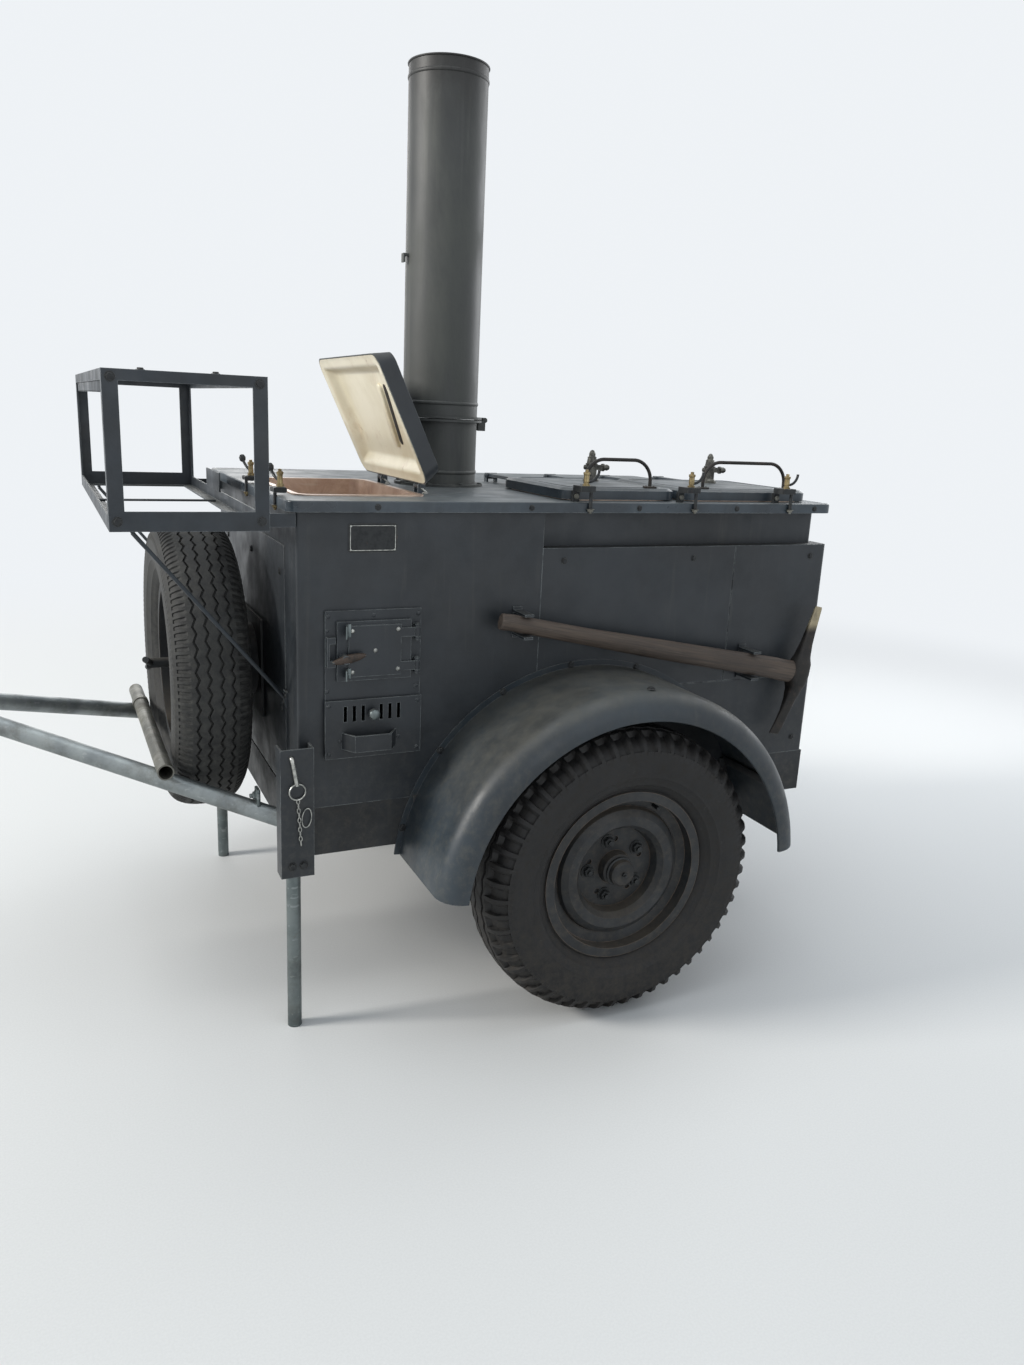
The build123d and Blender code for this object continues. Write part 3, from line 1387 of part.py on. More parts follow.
# Drawbar tubes, from foot plates on the front cross member to the tow pole
foot_plate = (8, 90, 100)
with BuildPart() as drawbar_left:
    reach = (apex - foot) * (1 / (apex - foot).length)
    rod(tuple(foot - reach * 60), tuple(apex), drawbar_radius, drawbar_radius - drawbar_wall)
    block(
        (front_wall_x - 200, -body_half, rail_bottom - 200),
        (front_wall_x, body_half + 40, body_bottom),
        mode=Mode.SUBTRACT,
    )
    block(
        (front_wall_x, foot.Y - foot_plate[1] / 2, foot.Z - foot_plate[2] / 2),
        (front_wall_x + foot_plate[0], foot.Y + foot_plate[1] / 2, foot.Z + foot_plate[2] / 2),
    )
    with BuildSketch(Plane.YZ.offset(pole_rear_x - 100)):
        with Locations((0, pole_z)):
            Circle(pole_radius + seat_gap)
    extrude(amount=400, mode=Mode.SUBTRACT)
    block((pole_rear_x - 100, -100, 600), (pole_rear_x + 400, 0, 900), mode=Mode.SUBTRACT)
keep(drawbar_left, "drawbar_left")
keep(mirrored(drawbar_left), "drawbar_right")

# Loose cross tube lying on the two drawbar tubes
along = (cross_tube_x - foot.X) / (apex.X - foot.X)
slope = (apex.Z - foot.Z) / (apex.X - foot.X)
tube_z = foot.Z + along * (apex.Z - foot.Z)
cross_tube_z = tube_z + (drawbar_radius + cross_tube_radius + seat_gap) * sqrt(1 + slope**2)
with BuildPart() as cross_tube:
    rod(
        (cross_tube_x, -cross_tube_half, cross_tube_z),
        (cross_tube_x, cross_tube_half, cross_tube_z),
        cross_tube_radius,
        cross_tube_radius - cross_tube_wall,
    )
    rod(
        (cross_tube_x, cross_tube_collar[0], cross_tube_z),
        (cross_tube_x, cross_tube_collar[0] + cross_tube_collar[1], cross_tube_z),
        cross_tube_radius + 3,
        cross_tube_radius - cross_tube_wall,
    )
keep(cross_tube, "drawbar_cross_tube")

# Spare wheel, its axle along X, on a carrier bolted to the front wall
spare_centre = (spare_x, 0, spare_z)
keep(tyre(spare_centre, (1, 0, 0)), "spare_tyre")
spare_disc = tuple((offset - 30, radius) for offset, radius in disc_shape)
keep(rim(spare_centre, (1, 0, 0), spare_disc), "spare_rim")
carrier_plate = 8
spare_disc_back = spare_x + spare_disc[0][0] - 6
with BuildPart() as spare_carrier:
    block(
        (front_wall_x, -carrier_plate_half, spare_z - carrier_plate_half),
        (front_wall_x + carrier_plate, carrier_plate_half, spare_z + carrier_plate_half),
    )
    rod(
        (front_wall_x + carrier_plate, 0, spare_z),
        (spare_disc_back, 0, spare_z),
        96,
        80,
    )
    rod((spare_disc_back - 8, 0, spare_z), (spare_disc_back, 0, spare_z), 96)
    rod((spare_disc_back, 0, spare_z), (spare_x + 120, 0, spare_z), 13)
    rod((spare_disc_back + 6, 0, spare_z), (spare_disc_back + 14, 0, spare_z), 84)
    rod((spare_disc_back + 14, 0, spare_z), (spare_x + 40, 0, spare_z), 22)
    for sign in (-1, 1):
        rod(
            (spare_x + 108, 0, spare_z),
            (spare_x + 118 + 10 * sign, sign * 82, spare_z + 30 * sign),
            8,
        )
keep(spare_carrier, "spare_carrier")

# Diagonal rods from the front of the rack down to the front wall
strut_radius = 4.5
strut_low = (front_wall_x + 4, body_half - 105, 801)
strut_high = (rack_front_x - 45, rack_half - 24, rack_low_z - strut_radius - 1)
with BuildPart() as rack_strut_left:
    rod(strut_low, strut_high, strut_radius)
    rod(strut_high, (strut_high[0], strut_high[1], rack_low_z + 1), strut_radius)
    block(
        (front_wall_x, strut_low[1] - 16, strut_low[2] - 18),
        (front_wall_x + 6, strut_low[1] + 16, strut_low[2] + 18),
    )

# Rack of angle iron: two side frames and the cross angles between them, on two arms
with BuildPart() as rack_frame:
    for side in (-1, 1):
        for post_x, inward in ((rack_rear_x, 1), (rack_front_x, -1)):
            with BuildSketch(Plane.XY.offset(rack_low_z)):
                with Locations(
                    (post_x + inward * rack_angle / 2, side * (rack_half - rack_wall / 2))
                ):
                    Rectangle(rack_angle, rack_wall)
                with Locations(
                    (post_x + inward * rack_wall / 2, side * (rack_half - rack_angle / 2))
                ):
                    Rectangle(rack_wall, rack_angle)
            extrude(amount=rack_high_z - rack_low_z)
        for rail_z, rail_height_now in (
            (rack_low_z + rack_bottom_rail / 2, rack_bottom_rail),
            (rack_high_z - rack_top_rail / 2, rack_top_rail),
        ):
            is_top = rail_z > rack_low_z + rack_bottom_rail
            lip_z = rack_high_z - rack_wall / 2 if is_top else rack_low_z + rack_wall / 2
            with BuildSketch(Plane.YZ.offset(rack_rear_x)):
                with Locations((side * (rack_half - rack_wall / 2), rail_z)):
                    Rectangle(rack_wall, rail_height_now)
                with Locations((side * (rack_half - rack_angle / 2), lip_z)):
                    Rectangle(rack_angle, rack_wall)
            extrude(amount=rack_front_x - rack_rear_x)
        low, high = sorted((side * (body_half - rack_angle), side * body_half))
        block((front_wall_x, low, rack_low_z), (rack_rear_x, high, rack_low_z + rack_wall))
        block(
            (front_wall_x, high - rack_wall, rack_low_z),
            (rack_rear_x, high, rack_low_z + rack_angle),
        )
    cross_angles = (
        (rack_rear_x, 1, rack_low_z, rack_wall),
        (rack_front_x, -1, rack_low_z, rack_wall),
        (rack_rear_x, 1, rack_high_z - rack_wall, rack_wall),
        (rack_front_x, -1, rack_high_z - rack_wall, rack_wall),
    )
    for edge_x, inward, flat_z, flat in cross_angles:
        low_x, high_x = sorted((edge_x, edge_x + inward * rack_angle))
        block((low_x, -rack_half, flat_z), (high_x, rack_half, flat_z + flat))
        low_x, high_x = sorted((edge_x, edge_x + inward * rack_wall))
        web_low = flat_z if flat_z == rack_low_z else rack_high_z - rack_top_rail
        web_high = rack_low_z + rack_angle if flat_z == rack_low_z else rack_high_z
        block((low_x, -rack_half, web_low), (high_x, rack_half, web_high))
    add(rack_strut_left.part)
    mirror(rack_strut_left.part, about=Plane.XZ)
keep(rack_frame, "rack_frame")

# Pickaxe clipped along the left side, head at the rear
handle_start = Vector(pick_handle_front[0], pick_y, pick_handle_front[1])
handle_end = Vector(pick_handle_rear[0], pick_y, pick_handle_rear[1])
handle_way = (handle_end - handle_start).normalized()
handle_length = (handle_end - handle_start).length
head_middle = handle_end - handle_way * 25
head_up = Vector(0, 1, 0).cross(handle_way)
# Share of the length, height and thickness
handle_sections = ((0, 40, 26), (0.08, 42, 28), (0.45, 53, 32), (0.85, 60, 36), (1, 64, 38))
with BuildPart() as pick_handle:
    for share, height, thickness in handle_sections:
        centre = handle_start + handle_way * (handle_length * share)
        with BuildSketch(Plane(origin=centre, x_dir=head_up, z_dir=handle_way)):
            Ellipse(height / 2, thickness / 2)
    loft()
keep(pick_handle, "pick_handle")

# Distance from the eye, width, thickness and forward lean
head_sections = (
    (-184, 34, 6, 24),
    (-115, 32, 14, 8),
    (-50, 44, 28, 0),
    (0, 66, 54, 0),
    (50, 44, 28, 0),
    (120, 32, 16, -4),
    (193, 26, 6, -9),
)
eye_gap = 0.2
with BuildPart() as pick_head:
    for away, wide, thick, lag in head_sections:
        centre = head_middle + head_up * away - handle_way * lag
        with BuildSketch(Plane(origin=centre, x_dir=handle_way, z_dir=head_up)):
            Rectangle(wide, thick)
    loft(ruled=True)
    with BuildSketch(Plane(origin=handle_start, x_dir=head_up, z_dir=handle_way)):
        Ellipse(handle_sections[-1][1] / 2 + eye_gap, handle_sections[-1][2] / 2 + eye_gap)
    extrude(amount=handle_length + 60, mode=Mode.SUBTRACT)
keep(pick_head, "pick_head")

# Brackets that hold the pickaxe: a cradle near the front end and one near the head
bracket_places = ((0.07, 25), (0.8, 34))  # share of the handle's length, half the height inside
bracket_half = 12
bracket_sheet = 6
with BuildPart() as pick_brackets:
    for share, inside in bracket_places:
        at = handle_start + handle_way * (handle_length * share)
        low_x, high_x, outside = at.X - bracket_half, at.X + bracket_half, inside + bracket_sheet
        block((low_x, body_half, at.Z - outside - 8), (high_x, body_half + 4, at.Z + outside + 8))
        for low_z, high_z in ((at.Z - outside, at.Z - inside), (at.Z + inside, at.Z + outside)):
            block((low_x, body_half, low_z), (high_x, pick_y + 22, high_z))
keep(pick_brackets, "pick_brackets")
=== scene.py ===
from math import cos, pi, radians, sin

import bmesh
import bpy
import numpy as np
from mathutils import Matrix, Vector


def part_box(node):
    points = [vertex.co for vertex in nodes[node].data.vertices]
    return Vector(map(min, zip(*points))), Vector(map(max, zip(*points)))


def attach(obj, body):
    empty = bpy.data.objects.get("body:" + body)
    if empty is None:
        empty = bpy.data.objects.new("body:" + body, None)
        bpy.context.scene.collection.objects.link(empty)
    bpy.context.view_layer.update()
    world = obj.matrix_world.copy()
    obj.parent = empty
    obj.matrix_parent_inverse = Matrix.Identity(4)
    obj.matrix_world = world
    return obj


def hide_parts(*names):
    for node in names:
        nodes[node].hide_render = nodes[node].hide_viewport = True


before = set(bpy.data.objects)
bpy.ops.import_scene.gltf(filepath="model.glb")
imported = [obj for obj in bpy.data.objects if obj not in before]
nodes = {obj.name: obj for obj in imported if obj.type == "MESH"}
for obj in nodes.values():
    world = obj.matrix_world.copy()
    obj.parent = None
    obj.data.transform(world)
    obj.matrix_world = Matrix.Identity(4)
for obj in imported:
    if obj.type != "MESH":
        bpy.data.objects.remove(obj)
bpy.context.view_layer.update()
print("frame loaded with", len(nodes), "nodes")


def corners(node):
    # lowest and highest corner of a node at rest
    low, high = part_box(node)
    return np.array(low, float), np.array(high, float)


def middleOf(node):
    low, high = corners(node)
    return (low + high) / 2


axle = middleOf("axle_beam")
frontWall, bodyLeft = corners("fire_section")[1][:2]
rearWall = corners("kettle_jacket")[0][0]
topLow, topHigh = corners("top_plate")
topSurface = topLow[2] + 0.025  # the top plate's skirt is 25 mm high


def fromAxle(x, y, z):
    # a point given from the axle's middle along X, with Y and Z as they are
    return np.array([axle[0] + x, y, z])


zUp = (0, 0, 1)
bothSides = ((1, "Left"), (-1, "Right"))  # the sign of Y and the ending of a piece's name


# Shapes: each is a pair, an (n, 3) array of points and a list of face arrays

def netShape(grid, closeRows=False, closeColumns=False, caps=False):
    # quads between the neighbours of a rows by columns net of points
    rows, columns = grid.shape[:2]
    i, j = np.meshgrid(
        np.arange(rows if closeRows else rows - 1), np.arange(columns if closeColumns else columns - 1), indexing="ij",
    )
    nextI, nextJ = (i + 1) % rows, (j + 1) % columns
    quads = [i * columns + j, nextI * columns + j, nextI * columns + nextJ, i * columns + nextJ]
    faceSets = [np.stack(quads, axis=-1).reshape(-1, 4)]
    if caps:
        ring = np.arange(columns)
        faceSets += [ring[None, :], (ring + (rows - 1) * columns)[None, ::-1]]
    return grid.reshape(-1, 3), faceSets


def joined(shapes):
    # several shapes as one, with the later ones' point numbers moved up
    points, faceSets, start = [], [], 0
    for shapePoints, shapeFaces in shapes:
        points.append(shapePoints)
        faceSets += [faces + start for faces in shapeFaces]
        start += len(shapePoints)
    return np.vstack(points), faceSets


def unit(vector):
    vector = np.asarray(vector, float)
    return vector / np.linalg.norm(vector, axis=-1, keepdims=True)


def basis(axis, turn=0.0):
    # three directions: across, up and along the axis, turned about it
    along = unit(axis)
    helper = np.array([0, 0, 1.0]) if abs(along[2]) < 0.9 else np.array([1.0, 0, 0])
    across = unit(np.cross(helper, along))
    up = np.cross(along, across)
    return np.array([across * cos(turn) + up * sin(turn), up * cos(turn) - across * sin(turn), along])


def circle(count):
    # evenly spaced angles once round
    return np.linspace(0, 2 * pi, count, endpoint=False)


def arc(centre, across, rise, angle):
    # centre + across * cos(angle) + rise * sin(angle)
    centre, across, rise = (np.asarray(v, float) for v in (centre, across, rise))
    angle = np.asarray(angle)[:, None]
    return centre + across * np.cos(angle) + rise * np.sin(angle)


def turned(origin, axis, profile, sides):
    # a profile of (along, radius) pairs turned about an axis: point = origin + along * axis + radius * ring
    across, up, along = basis(axis)
    profile = np.asarray(profile, float)
    ring = arc((0, 0, 0), across, up, circle(sides))
    grid = np.asarray(origin, float) + profile[None, :, :1] * along + profile[None, :, 1:] * ring[:, None, :]
    return netShape(grid, closeRows=True)


def carried(path, profile, up=zUp, closed=False):
    # a closed outline of (side, rise) pairs carried along a path, side being square to path and up
    path, profile = np.asarray(path, float), np.asarray(profile, float)
    if closed:
        tangent = unit(np.roll(path, -1, axis=0) - np.roll(path, 1, axis=0))
    else:
        tangent = unit(np.gradient(path, axis=0))
    side = unit(np.cross(tangent, np.asarray(up, float)))
    rise = np.cross(side, tangent)
    grid = path[:, None] + profile[None, :, :1] * side[:, None] + profile[None, :, 1:] * rise[:, None]
    return netShape(grid, closeRows=closed, closeColumns=True, caps=not closed)


def roundOutline(radius, sides, flat=1.0):
    # a circle, or an ellipse whose rise is flat times its side
    angle = circle(sides)
    return np.stack([radius * np.cos(angle), radius * flat * np.sin(angle)], axis=-1)


def softOutline(width, height, radius, steps):
    # a rectangle with round corners, as an outline in order
    quarter = np.linspace(0, pi / 2, steps + 1)
    centres = np.array([[1, 1], [-1, 1], [-1, -1], [1, -1]]) * [width / 2 - radius, height / 2 - radius]
    angle = quarter[None, :] + np.arange(4)[:, None] * pi / 2
    return (centres[:, None, :] + radius * np.stack([np.cos(angle), np.sin(angle)], axis=-1)).reshape(-1, 2)


def plate(centre, axis, outline, thickness, edge=0.0008):
    # a flat outline given thickness along its axis, with a small bevel on its outer edge
    across, up, along = basis(axis)
    levels = np.array([[0, 1], [thickness - edge, 1], [thickness, 1 - edge / np.abs(outline).max()]])
    flat = outline[None, :, :1] * across + outline[None, :, 1:] * up
    grid = np.asarray(centre, float) + levels[:, 0, None, None] * along + levels[:, 1, None, None] * flat
    return netShape(grid, closeColumns=True, caps=True)


def slab(low, high, edge=0.001):
    # a bar between two corners with all its edges taken off, its outline carried along Z
    low, high = np.minimum(low, high), np.maximum(low, high)
    centre, size = (low + high) / 2, high - low
    outline = softOutline(size[0], size[1], min(edge, size[0] / 2.1, size[1] / 2.1), 2)
    inner = outline * (1 - edge / size[:2])
    levels = ((low[2], inner), (low[2] + edge, outline), (high[2] - edge, outline), (high[2], inner))
    grid = np.array([np.column_stack([shape + centre[:2], np.full(len(shape), z)]) for z, shape in levels])
    return netShape(grid, closeColumns=True, caps=True)


def smoothPath(points, count):
    # a smooth curve through given points: each point is a cubic mix of its four neighbours
    points = np.asarray(points, float)
    padded = np.vstack([2 * points[0] - points[1], points, 2 * points[-1] - points[-2]])
    at = np.linspace(0, len(points) - 1, count)
    index = np.minimum(at.astype(int), len(points) - 2)
    t = (at - index)[:, None]
    before, here, after, beyond = (padded[index + k] for k in range(4))
    return 0.5 * (
        2 * here + (after - before) * t + (2 * before - 5 * here + 4 * after - beyond) * t**2
        + (3 * here - before - 3 * after + beyond) * t**3
    )


def wire(points, radius, count=0, up=zUp):
    # a round bar along given points, smoothed where a count is given
    return carried(smoothPath(points, count) if count else points, roundOutline(radius, 10), up)


def loop(centre, across, rise, radius, steps=28):
    # a closed ring of round wire
    path = arc(centre, across, rise, circle(steps))
    return carried(path, roundOutline(radius, 8), np.cross(across, rise), closed=True)


def oval(power, sides):
    # a superellipse |a|^p + |b|^p = 1: each of cos and sin keeps its sign and is raised to 2 / p
    return (np.sign(v) * np.abs(v) ** (2 / power) for v in (np.cos(circle(sides)), np.sin(circle(sides))))


def ovalAlong(start, end, up, table, power=2.0, sides=28, bend=0.0015):
    # an oval of changing size along a line; rows of the table are (share of the line, height, thickness in mm)
    table, rows = np.asarray(table, float), 70
    share = np.interp(np.linspace(0, len(table) - 1, rows), np.arange(len(table)), table[:, 0])
    high, thick = (np.interp(share, table[:, 0], table[:, k]) / 2000 for k in (1, 2))
    a, b = oval(power, sides)
    sway = bend * np.sin(np.linspace(0, 1, rows) * 9.0 + 0.6)  # wood isn't quite straight
    centre = start + (end - start) * share[:, None] + up * (sway * (share > 0.02) * (share < 0.9))[:, None]
    across = np.cross(up, unit(end - start))
    grid = centre[:, None, :] + (a * high[:, None])[..., None] * up + (b * thick[:, None])[..., None] * across
    return netShape(grid, closeColumns=True, caps=True)


def stamped(template, places, axis, turn=0.0):
    # copies of a small shape drawn about its own Z, set at each place along an axis
    points, faceSets = template
    placed = points @ basis(axis, turn)
    places = np.atleast_2d(np.asarray(places, float))
    allPoints = (places[:, None, :] + placed[None, :, :]).reshape(-1, 3)
    shift = np.arange(len(places)) * len(points)
    return allPoints, [(faces[None] + shift[:, None, None]).reshape(-1, faces.shape[1]) for faces in faceSets]


def boltHead(size, height):
    # a six-sided head on a round washer, size being the width across its corners
    head = [(0, 0), (0, size / 2), (height * 0.85, size / 2), (height, size * 0.42), (height, 0)]
    washer = [(0, 0), (0, size * 0.68), (size * 0.1, size * 0.66), (size * 0.1, 0)]
    return joined([turned((0, 0, 0), zUp, head, 6), turned((0, 0, 0), zUp, washer, 18)])


def heads(places, axis, size, height, turn=0.3):
    return stamped(boltHead(size, height), places, axis, turn)


def rivets(places, axis, radius, height):
    # low domes: height * sqrt(1 - (r / radius)^2)
    share = np.linspace(0, pi / 2, 5)
    profile = np.stack([height * np.sin(share), radius * np.cos(share)], axis=-1)
    return stamped(turned((0, 0, 0), zUp, np.vstack([[0, 0], profile]), 12), places, axis)


def nuts(places, axis, size, height, stud):
    # nuts on washers, with the stud's chamfered end standing out of each
    radius, top = size * 0.27, height + stud
    end = [(0, 0), (0, radius), (top, radius), (top + 0.001, radius * 0.75), (top + 0.001, 0)]
    return stamped(joined([boltHead(size, height), turned((0, 0, 0), zUp, end, 14)]), places, axis, 0.2)


def addPiece(name, shape, look, body="chassis", sharp=35, replaces=()):
    # puts a shape, or a list of them, into a mesh, closes its poles, turns its faces outwards and lets it ride
    points, faceSets = joined(shape) if isinstance(shape, list) else shape
    mesh = bpy.data.meshes.new(name)
    mesh.vertices.add(len(points))
    mesh.vertices.foreach_set("co", np.asarray(points, np.float32).ravel())
    sizes = np.concatenate([np.full(len(faces), faces.shape[1]) for faces in faceSets])
    mesh.loops.add(int(sizes.sum()))
    mesh.loops.foreach_set("vertex_index", np.concatenate([f.ravel() for f in faceSets]).astype(np.int32))
    mesh.polygons.add(len(sizes))
    mesh.polygons.foreach_set("loop_start", np.concatenate([[0], np.cumsum(sizes)[:-1]]).astype(np.int32))
    mesh.update(calc_edges=True)
    work = bmesh.new()
    work.from_mesh(mesh)
    bmesh.ops.remove_doubles(work, verts=work.verts, dist=1e-6)
    bmesh.ops.dissolve_degenerate(work, edges=work.edges, dist=1e-7)
    bmesh.ops.recalc_face_normals(work, faces=work.faces)
    work.to_mesh(mesh)
    work.free()
    mesh.polygons.foreach_set("use_smooth", np.ones(len(mesh.polygons), bool))
    mesh.set_sharp_from_angle(angle=radians(sharp))
    mesh.materials.append(looks[look])
    piece = bpy.data.objects.new(name, mesh)
    bpy.context.scene.collection.objects.link(piece)
    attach(piece, body)
    if replaces:
        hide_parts(*replaces)


def addFasteners(name, shape, body="chassis"):
    # dark bolts, screws or nuts
    addPiece(name, shape, "blackenedSteel", body, 28)


# Materials: a kit holds one material's nodes, links, shader and place coordinates

def startMaterial(name, **shaderValues):
    material = bpy.data.materials.new(name)
    material.use_nodes = True
    tree = material.node_tree
    tree.nodes.clear()
    output = tree.nodes.new("ShaderNodeOutputMaterial")
    shader = tree.nodes.new("ShaderNodeBsdfPrincipled")
    tree.links.new(shader.outputs["BSDF"], output.inputs["Surface"])
    for key, value in shaderValues.items():
        shader.inputs[key].default_value = value
    place = tree.nodes.new("ShaderNodeTexCoord").outputs["Object"]
    return {"material": material, "tree": tree, "shader": shader, "place": place, "output": output}


def addNode(kit, kind, inputs=None, output=0, **attributes):
    # a node with its attributes and inputs set or linked, returning one of its outputs
    item = kit["tree"].nodes.new(kind)
    for key, value in attributes.items():
        setattr(item, key, value)
    for key, value in (inputs or {}).items():
        if isinstance(value, bpy.types.NodeSocket):
            kit["tree"].links.new(value, item.inputs[key])
        else:
            item.inputs[key].default_value = value
    return item.outputs[output]


def noise(kit, scale, detail, roughness, distortion=0.0, shift=0.0, stretch=(1, 1, 1)):
    # noise on object coordinates, stretched along the axes with a small factor
    vector = kit["place"]
    if stretch != (1, 1, 1) or shift:
        moved = {"Vector": vector, "Scale": stretch, "Location": (shift, shift, shift)}
        vector = addNode(kit, "ShaderNodeMapping", moved)
    return addNode(kit, "ShaderNodeTexNoise", {
        "Vector": vector, "Scale": scale, "Detail": detail, "Roughness": roughness, "Distortion": distortion,
    })


def spread(kit, value, low, high, toLow=0.0, toHigh=1.0):
    # maps low..high smoothly to toLow..toHigh and holds the ends
    reach = {"Value": value, "From Min": low, "From Max": high, "To Min": toLow, "To Max": toHigh}
    return addNode(kit, "ShaderNodeMapRange", reach, interpolation_type="SMOOTHSTEP")


def maths(kit, operation, first, second):
    return addNode(kit, "ShaderNodeMath", {0: first, 1: second}, operation=operation)


def linear(red, green, blue):
    # screen colour from 0 to 255 to linear
    share = np.array([red, green, blue]) / 255
    return tuple(float(v) for v in np.where(share < 0.04045, share / 12.92, ((share + 0.055) / 1.055) ** 2.4))


def blend(kit, factor, first, second):
    # mixes two colours; a colour is a socket or three numbers from 0 to 255
    first, second = (
        value if isinstance(value, bpy.types.NodeSocket) else (*linear(*value), 1) for value in (first, second)
    )
    return addNode(kit, "ShaderNodeMix", {0: factor, 6: first, 7: second}, 2, data_type="RGBA", blend_type="MIX")


def edgeLevel(kit, radius):
    # how far a rounded normal leaves the true one, which it does near edges
    rounded = addNode(kit, "ShaderNodeBevel", {"Radius": radius}, samples=6)
    true = addNode(kit, "ShaderNodeNewGeometry", output="Normal")
    same = addNode(kit, "ShaderNodeVectorMath", {0: rounded, 1: true}, "Value", operation="DOT_PRODUCT")
    return maths(kit, "SUBTRACT", 1.0, same)


def makeFinish(name, settings):
    # two tones mixed by a mask, layers of colour where their masks multiplied are high, roughness and bumps
    kit = startMaterial(name, **settings.get("shader", {}))
    if "turn" in settings:
        turn = (0, radians(settings["turn"]), 0)
        kit["place"] = addNode(kit, "ShaderNodeMapping", {"Vector": kit["place"], "Rotation": turn})
    masks = {}

    def level(source):
        # a noise's numbers, a radius at edges, the height, how far the surface faces up, or an earlier mask
        if isinstance(source, tuple):
            return noise(kit, *source)
        if isinstance(source, float):
            return edgeLevel(kit, source)
        if source == "height":
            return addNode(kit, "ShaderNodeSeparateXYZ", {0: kit["place"]}, 2)
        if source == "facing":
            normal = addNode(kit, "ShaderNodeNewGeometry", output="Normal")
            return addNode(kit, "ShaderNodeSeparateXYZ", {0: normal}, 2)
        return masks[source]

    def product(strength, names):
        share = masks[names[0]]
        for factor in [masks[key] for key in names[1:]] + ([strength] if strength != 1 else []):
            share = maths(kit, "MULTIPLY", share, factor)
        return share

    for key, (source, *numbers) in settings["masks"].items():
        masks[key] = spread(kit, level(source), *numbers)
    colour = blend(kit, masks["tone"], *settings["tones"])
    for strength, over, *names in settings.get("layers", ()):
        colour = blend(kit, product(strength, names), colour, over)
    rough = masks["rough"]
    if "dustRough" in settings:
        rough = maths(kit, "ADD", rough, product(*settings["dustRough"]))
    tree, inputs = kit["tree"], kit["shader"].inputs
    tree.links.new(colour, inputs["Base Color"])
    tree.links.new(rough, inputs["Roughness"])
    normal = None
    for source, distance, strength in settings.get("bumps", ()):
        bump = {"Height": level(source), "Distance": distance, "Strength": strength}
        normal = addNode(kit, "ShaderNodeBump", {**bump, "Normal": normal} if normal else bump)
    if normal:
        tree.links.new(normal, inputs["Normal"])
    return kit["material"]


def agedPaint(patch, dark, light, dust, bare, primer, runs, dirtTop, dustUp, wear, chips, edge, smooth, matt, dents):
    # brushed or sprayed paint: two close tones, runs, splashes low down, dust on top, rubbed edges and chips
    return {
        "masks": {
            "tone": ((patch, 5, 0.65), 0.35, 0.68), "run": ((34, 4, 0.6, 0.2, 0, (1, 1, 0.07)), 0.56, 0.74),
            "low": ("height", dirtTop, dirtTop - 0.55), "splash": ((42, 7, 0.75, 0, 3.1), 0.42, 0.74),
            "up": ("facing", 0.35, 0.95), "settled": ((21, 7, 0.75, 0, 1.7), 0.3, 0.72, 0.45, 1),
            "edges": (edge, 0.04, 0.3), "rubbed": ((24, 5, 0.7, 0, 8.1), 0.34, 0.56),
            "chip": ((70, 5, 0.75, 0.3, 5.3), 0.735, 0.755), "rough": ((12, 5, 0.6, 0, 2.2), 0.3, 0.7, smooth, matt),
        },
        "tones": (dark, light),
        "layers": (
            (runs, dust, "run"), (0.24, dust, "low", "splash"), (dustUp, dust, "up", "settled"),
            (wear, bare, "edges", "rubbed"), (chips, primer, "chip"),
        ),
        "dustRough": (0.18, ("up", "settled")),
        "bumps": (((5.5, 2, 0.4, 0, 6.6), 0.01, dents), ((160, 4, 0.6), 0.0006, 0.35), ("chip", -0.0004, 0.4)),
    }


def dullZinc(dark, light, roughness=0.42):
    # galvanised steel: soft grey patches, scratches along the tube, rust specks and dirt
    return {
        "shader": {"Metallic": 0.75},
        "masks": {
            "tone": ((14, 5, 0.6), 0.3, 0.7), "scratches": ((90, 3, 0.6, 0, 0, (0.1, 1, 1)), 0.6, 0.68),
            "rust": ((38, 6, 0.75, 0, 3.0), 0.64, 0.74), "dirt": ((11, 6, 0.7, 0, 9.0), 0.45, 0.7),
            "rough": ("dirt", 0, 1, roughness, roughness + 0.22),
        },
        "tones": (dark, light),
        "layers": (
            (0.35, (176, 180, 180), "scratches"), (0.55, (104, 76, 52), "rust"), (0.4, (84, 80, 72), "dirt"),
        ),
        "bumps": (((180, 4, 0.6), 0.0005, 0.35),),
    }


def forgedIron(tip=9.0, rusted=0.32):
    # dark forged iron with thin brown rust and rubbed edges, scoured bare above the height of its tip
    return {
        "shader": {"Metallic": 0.55},
        "masks": {
            "tone": ((18, 6, 0.7), 0.3, 0.7), "rust": ((34, 6, 0.75, 0, 3.0), 0.56 - rusted / 4, 0.72 - rusted / 4),
            "tip": ("height", tip - 0.03, tip), "bare": ("tone", 0.0, 0.8, 0.45, 0.9), "edges": (0.003, 0.05, 0.3),
            "rough": ("tone", 0, 1, 0.45, 0.68),
        },
        "tones": ((32, 31, 31), (54, 52, 50)),
        "layers": (
            (rusted, (80, 68, 60), "rust"), (1, (176, 164, 136), "tip", "bare"), (0.6, (150, 146, 138), "edges"),
        ),
        "bumps": (((130, 5, 0.7), 0.001, 0.4),),
    }


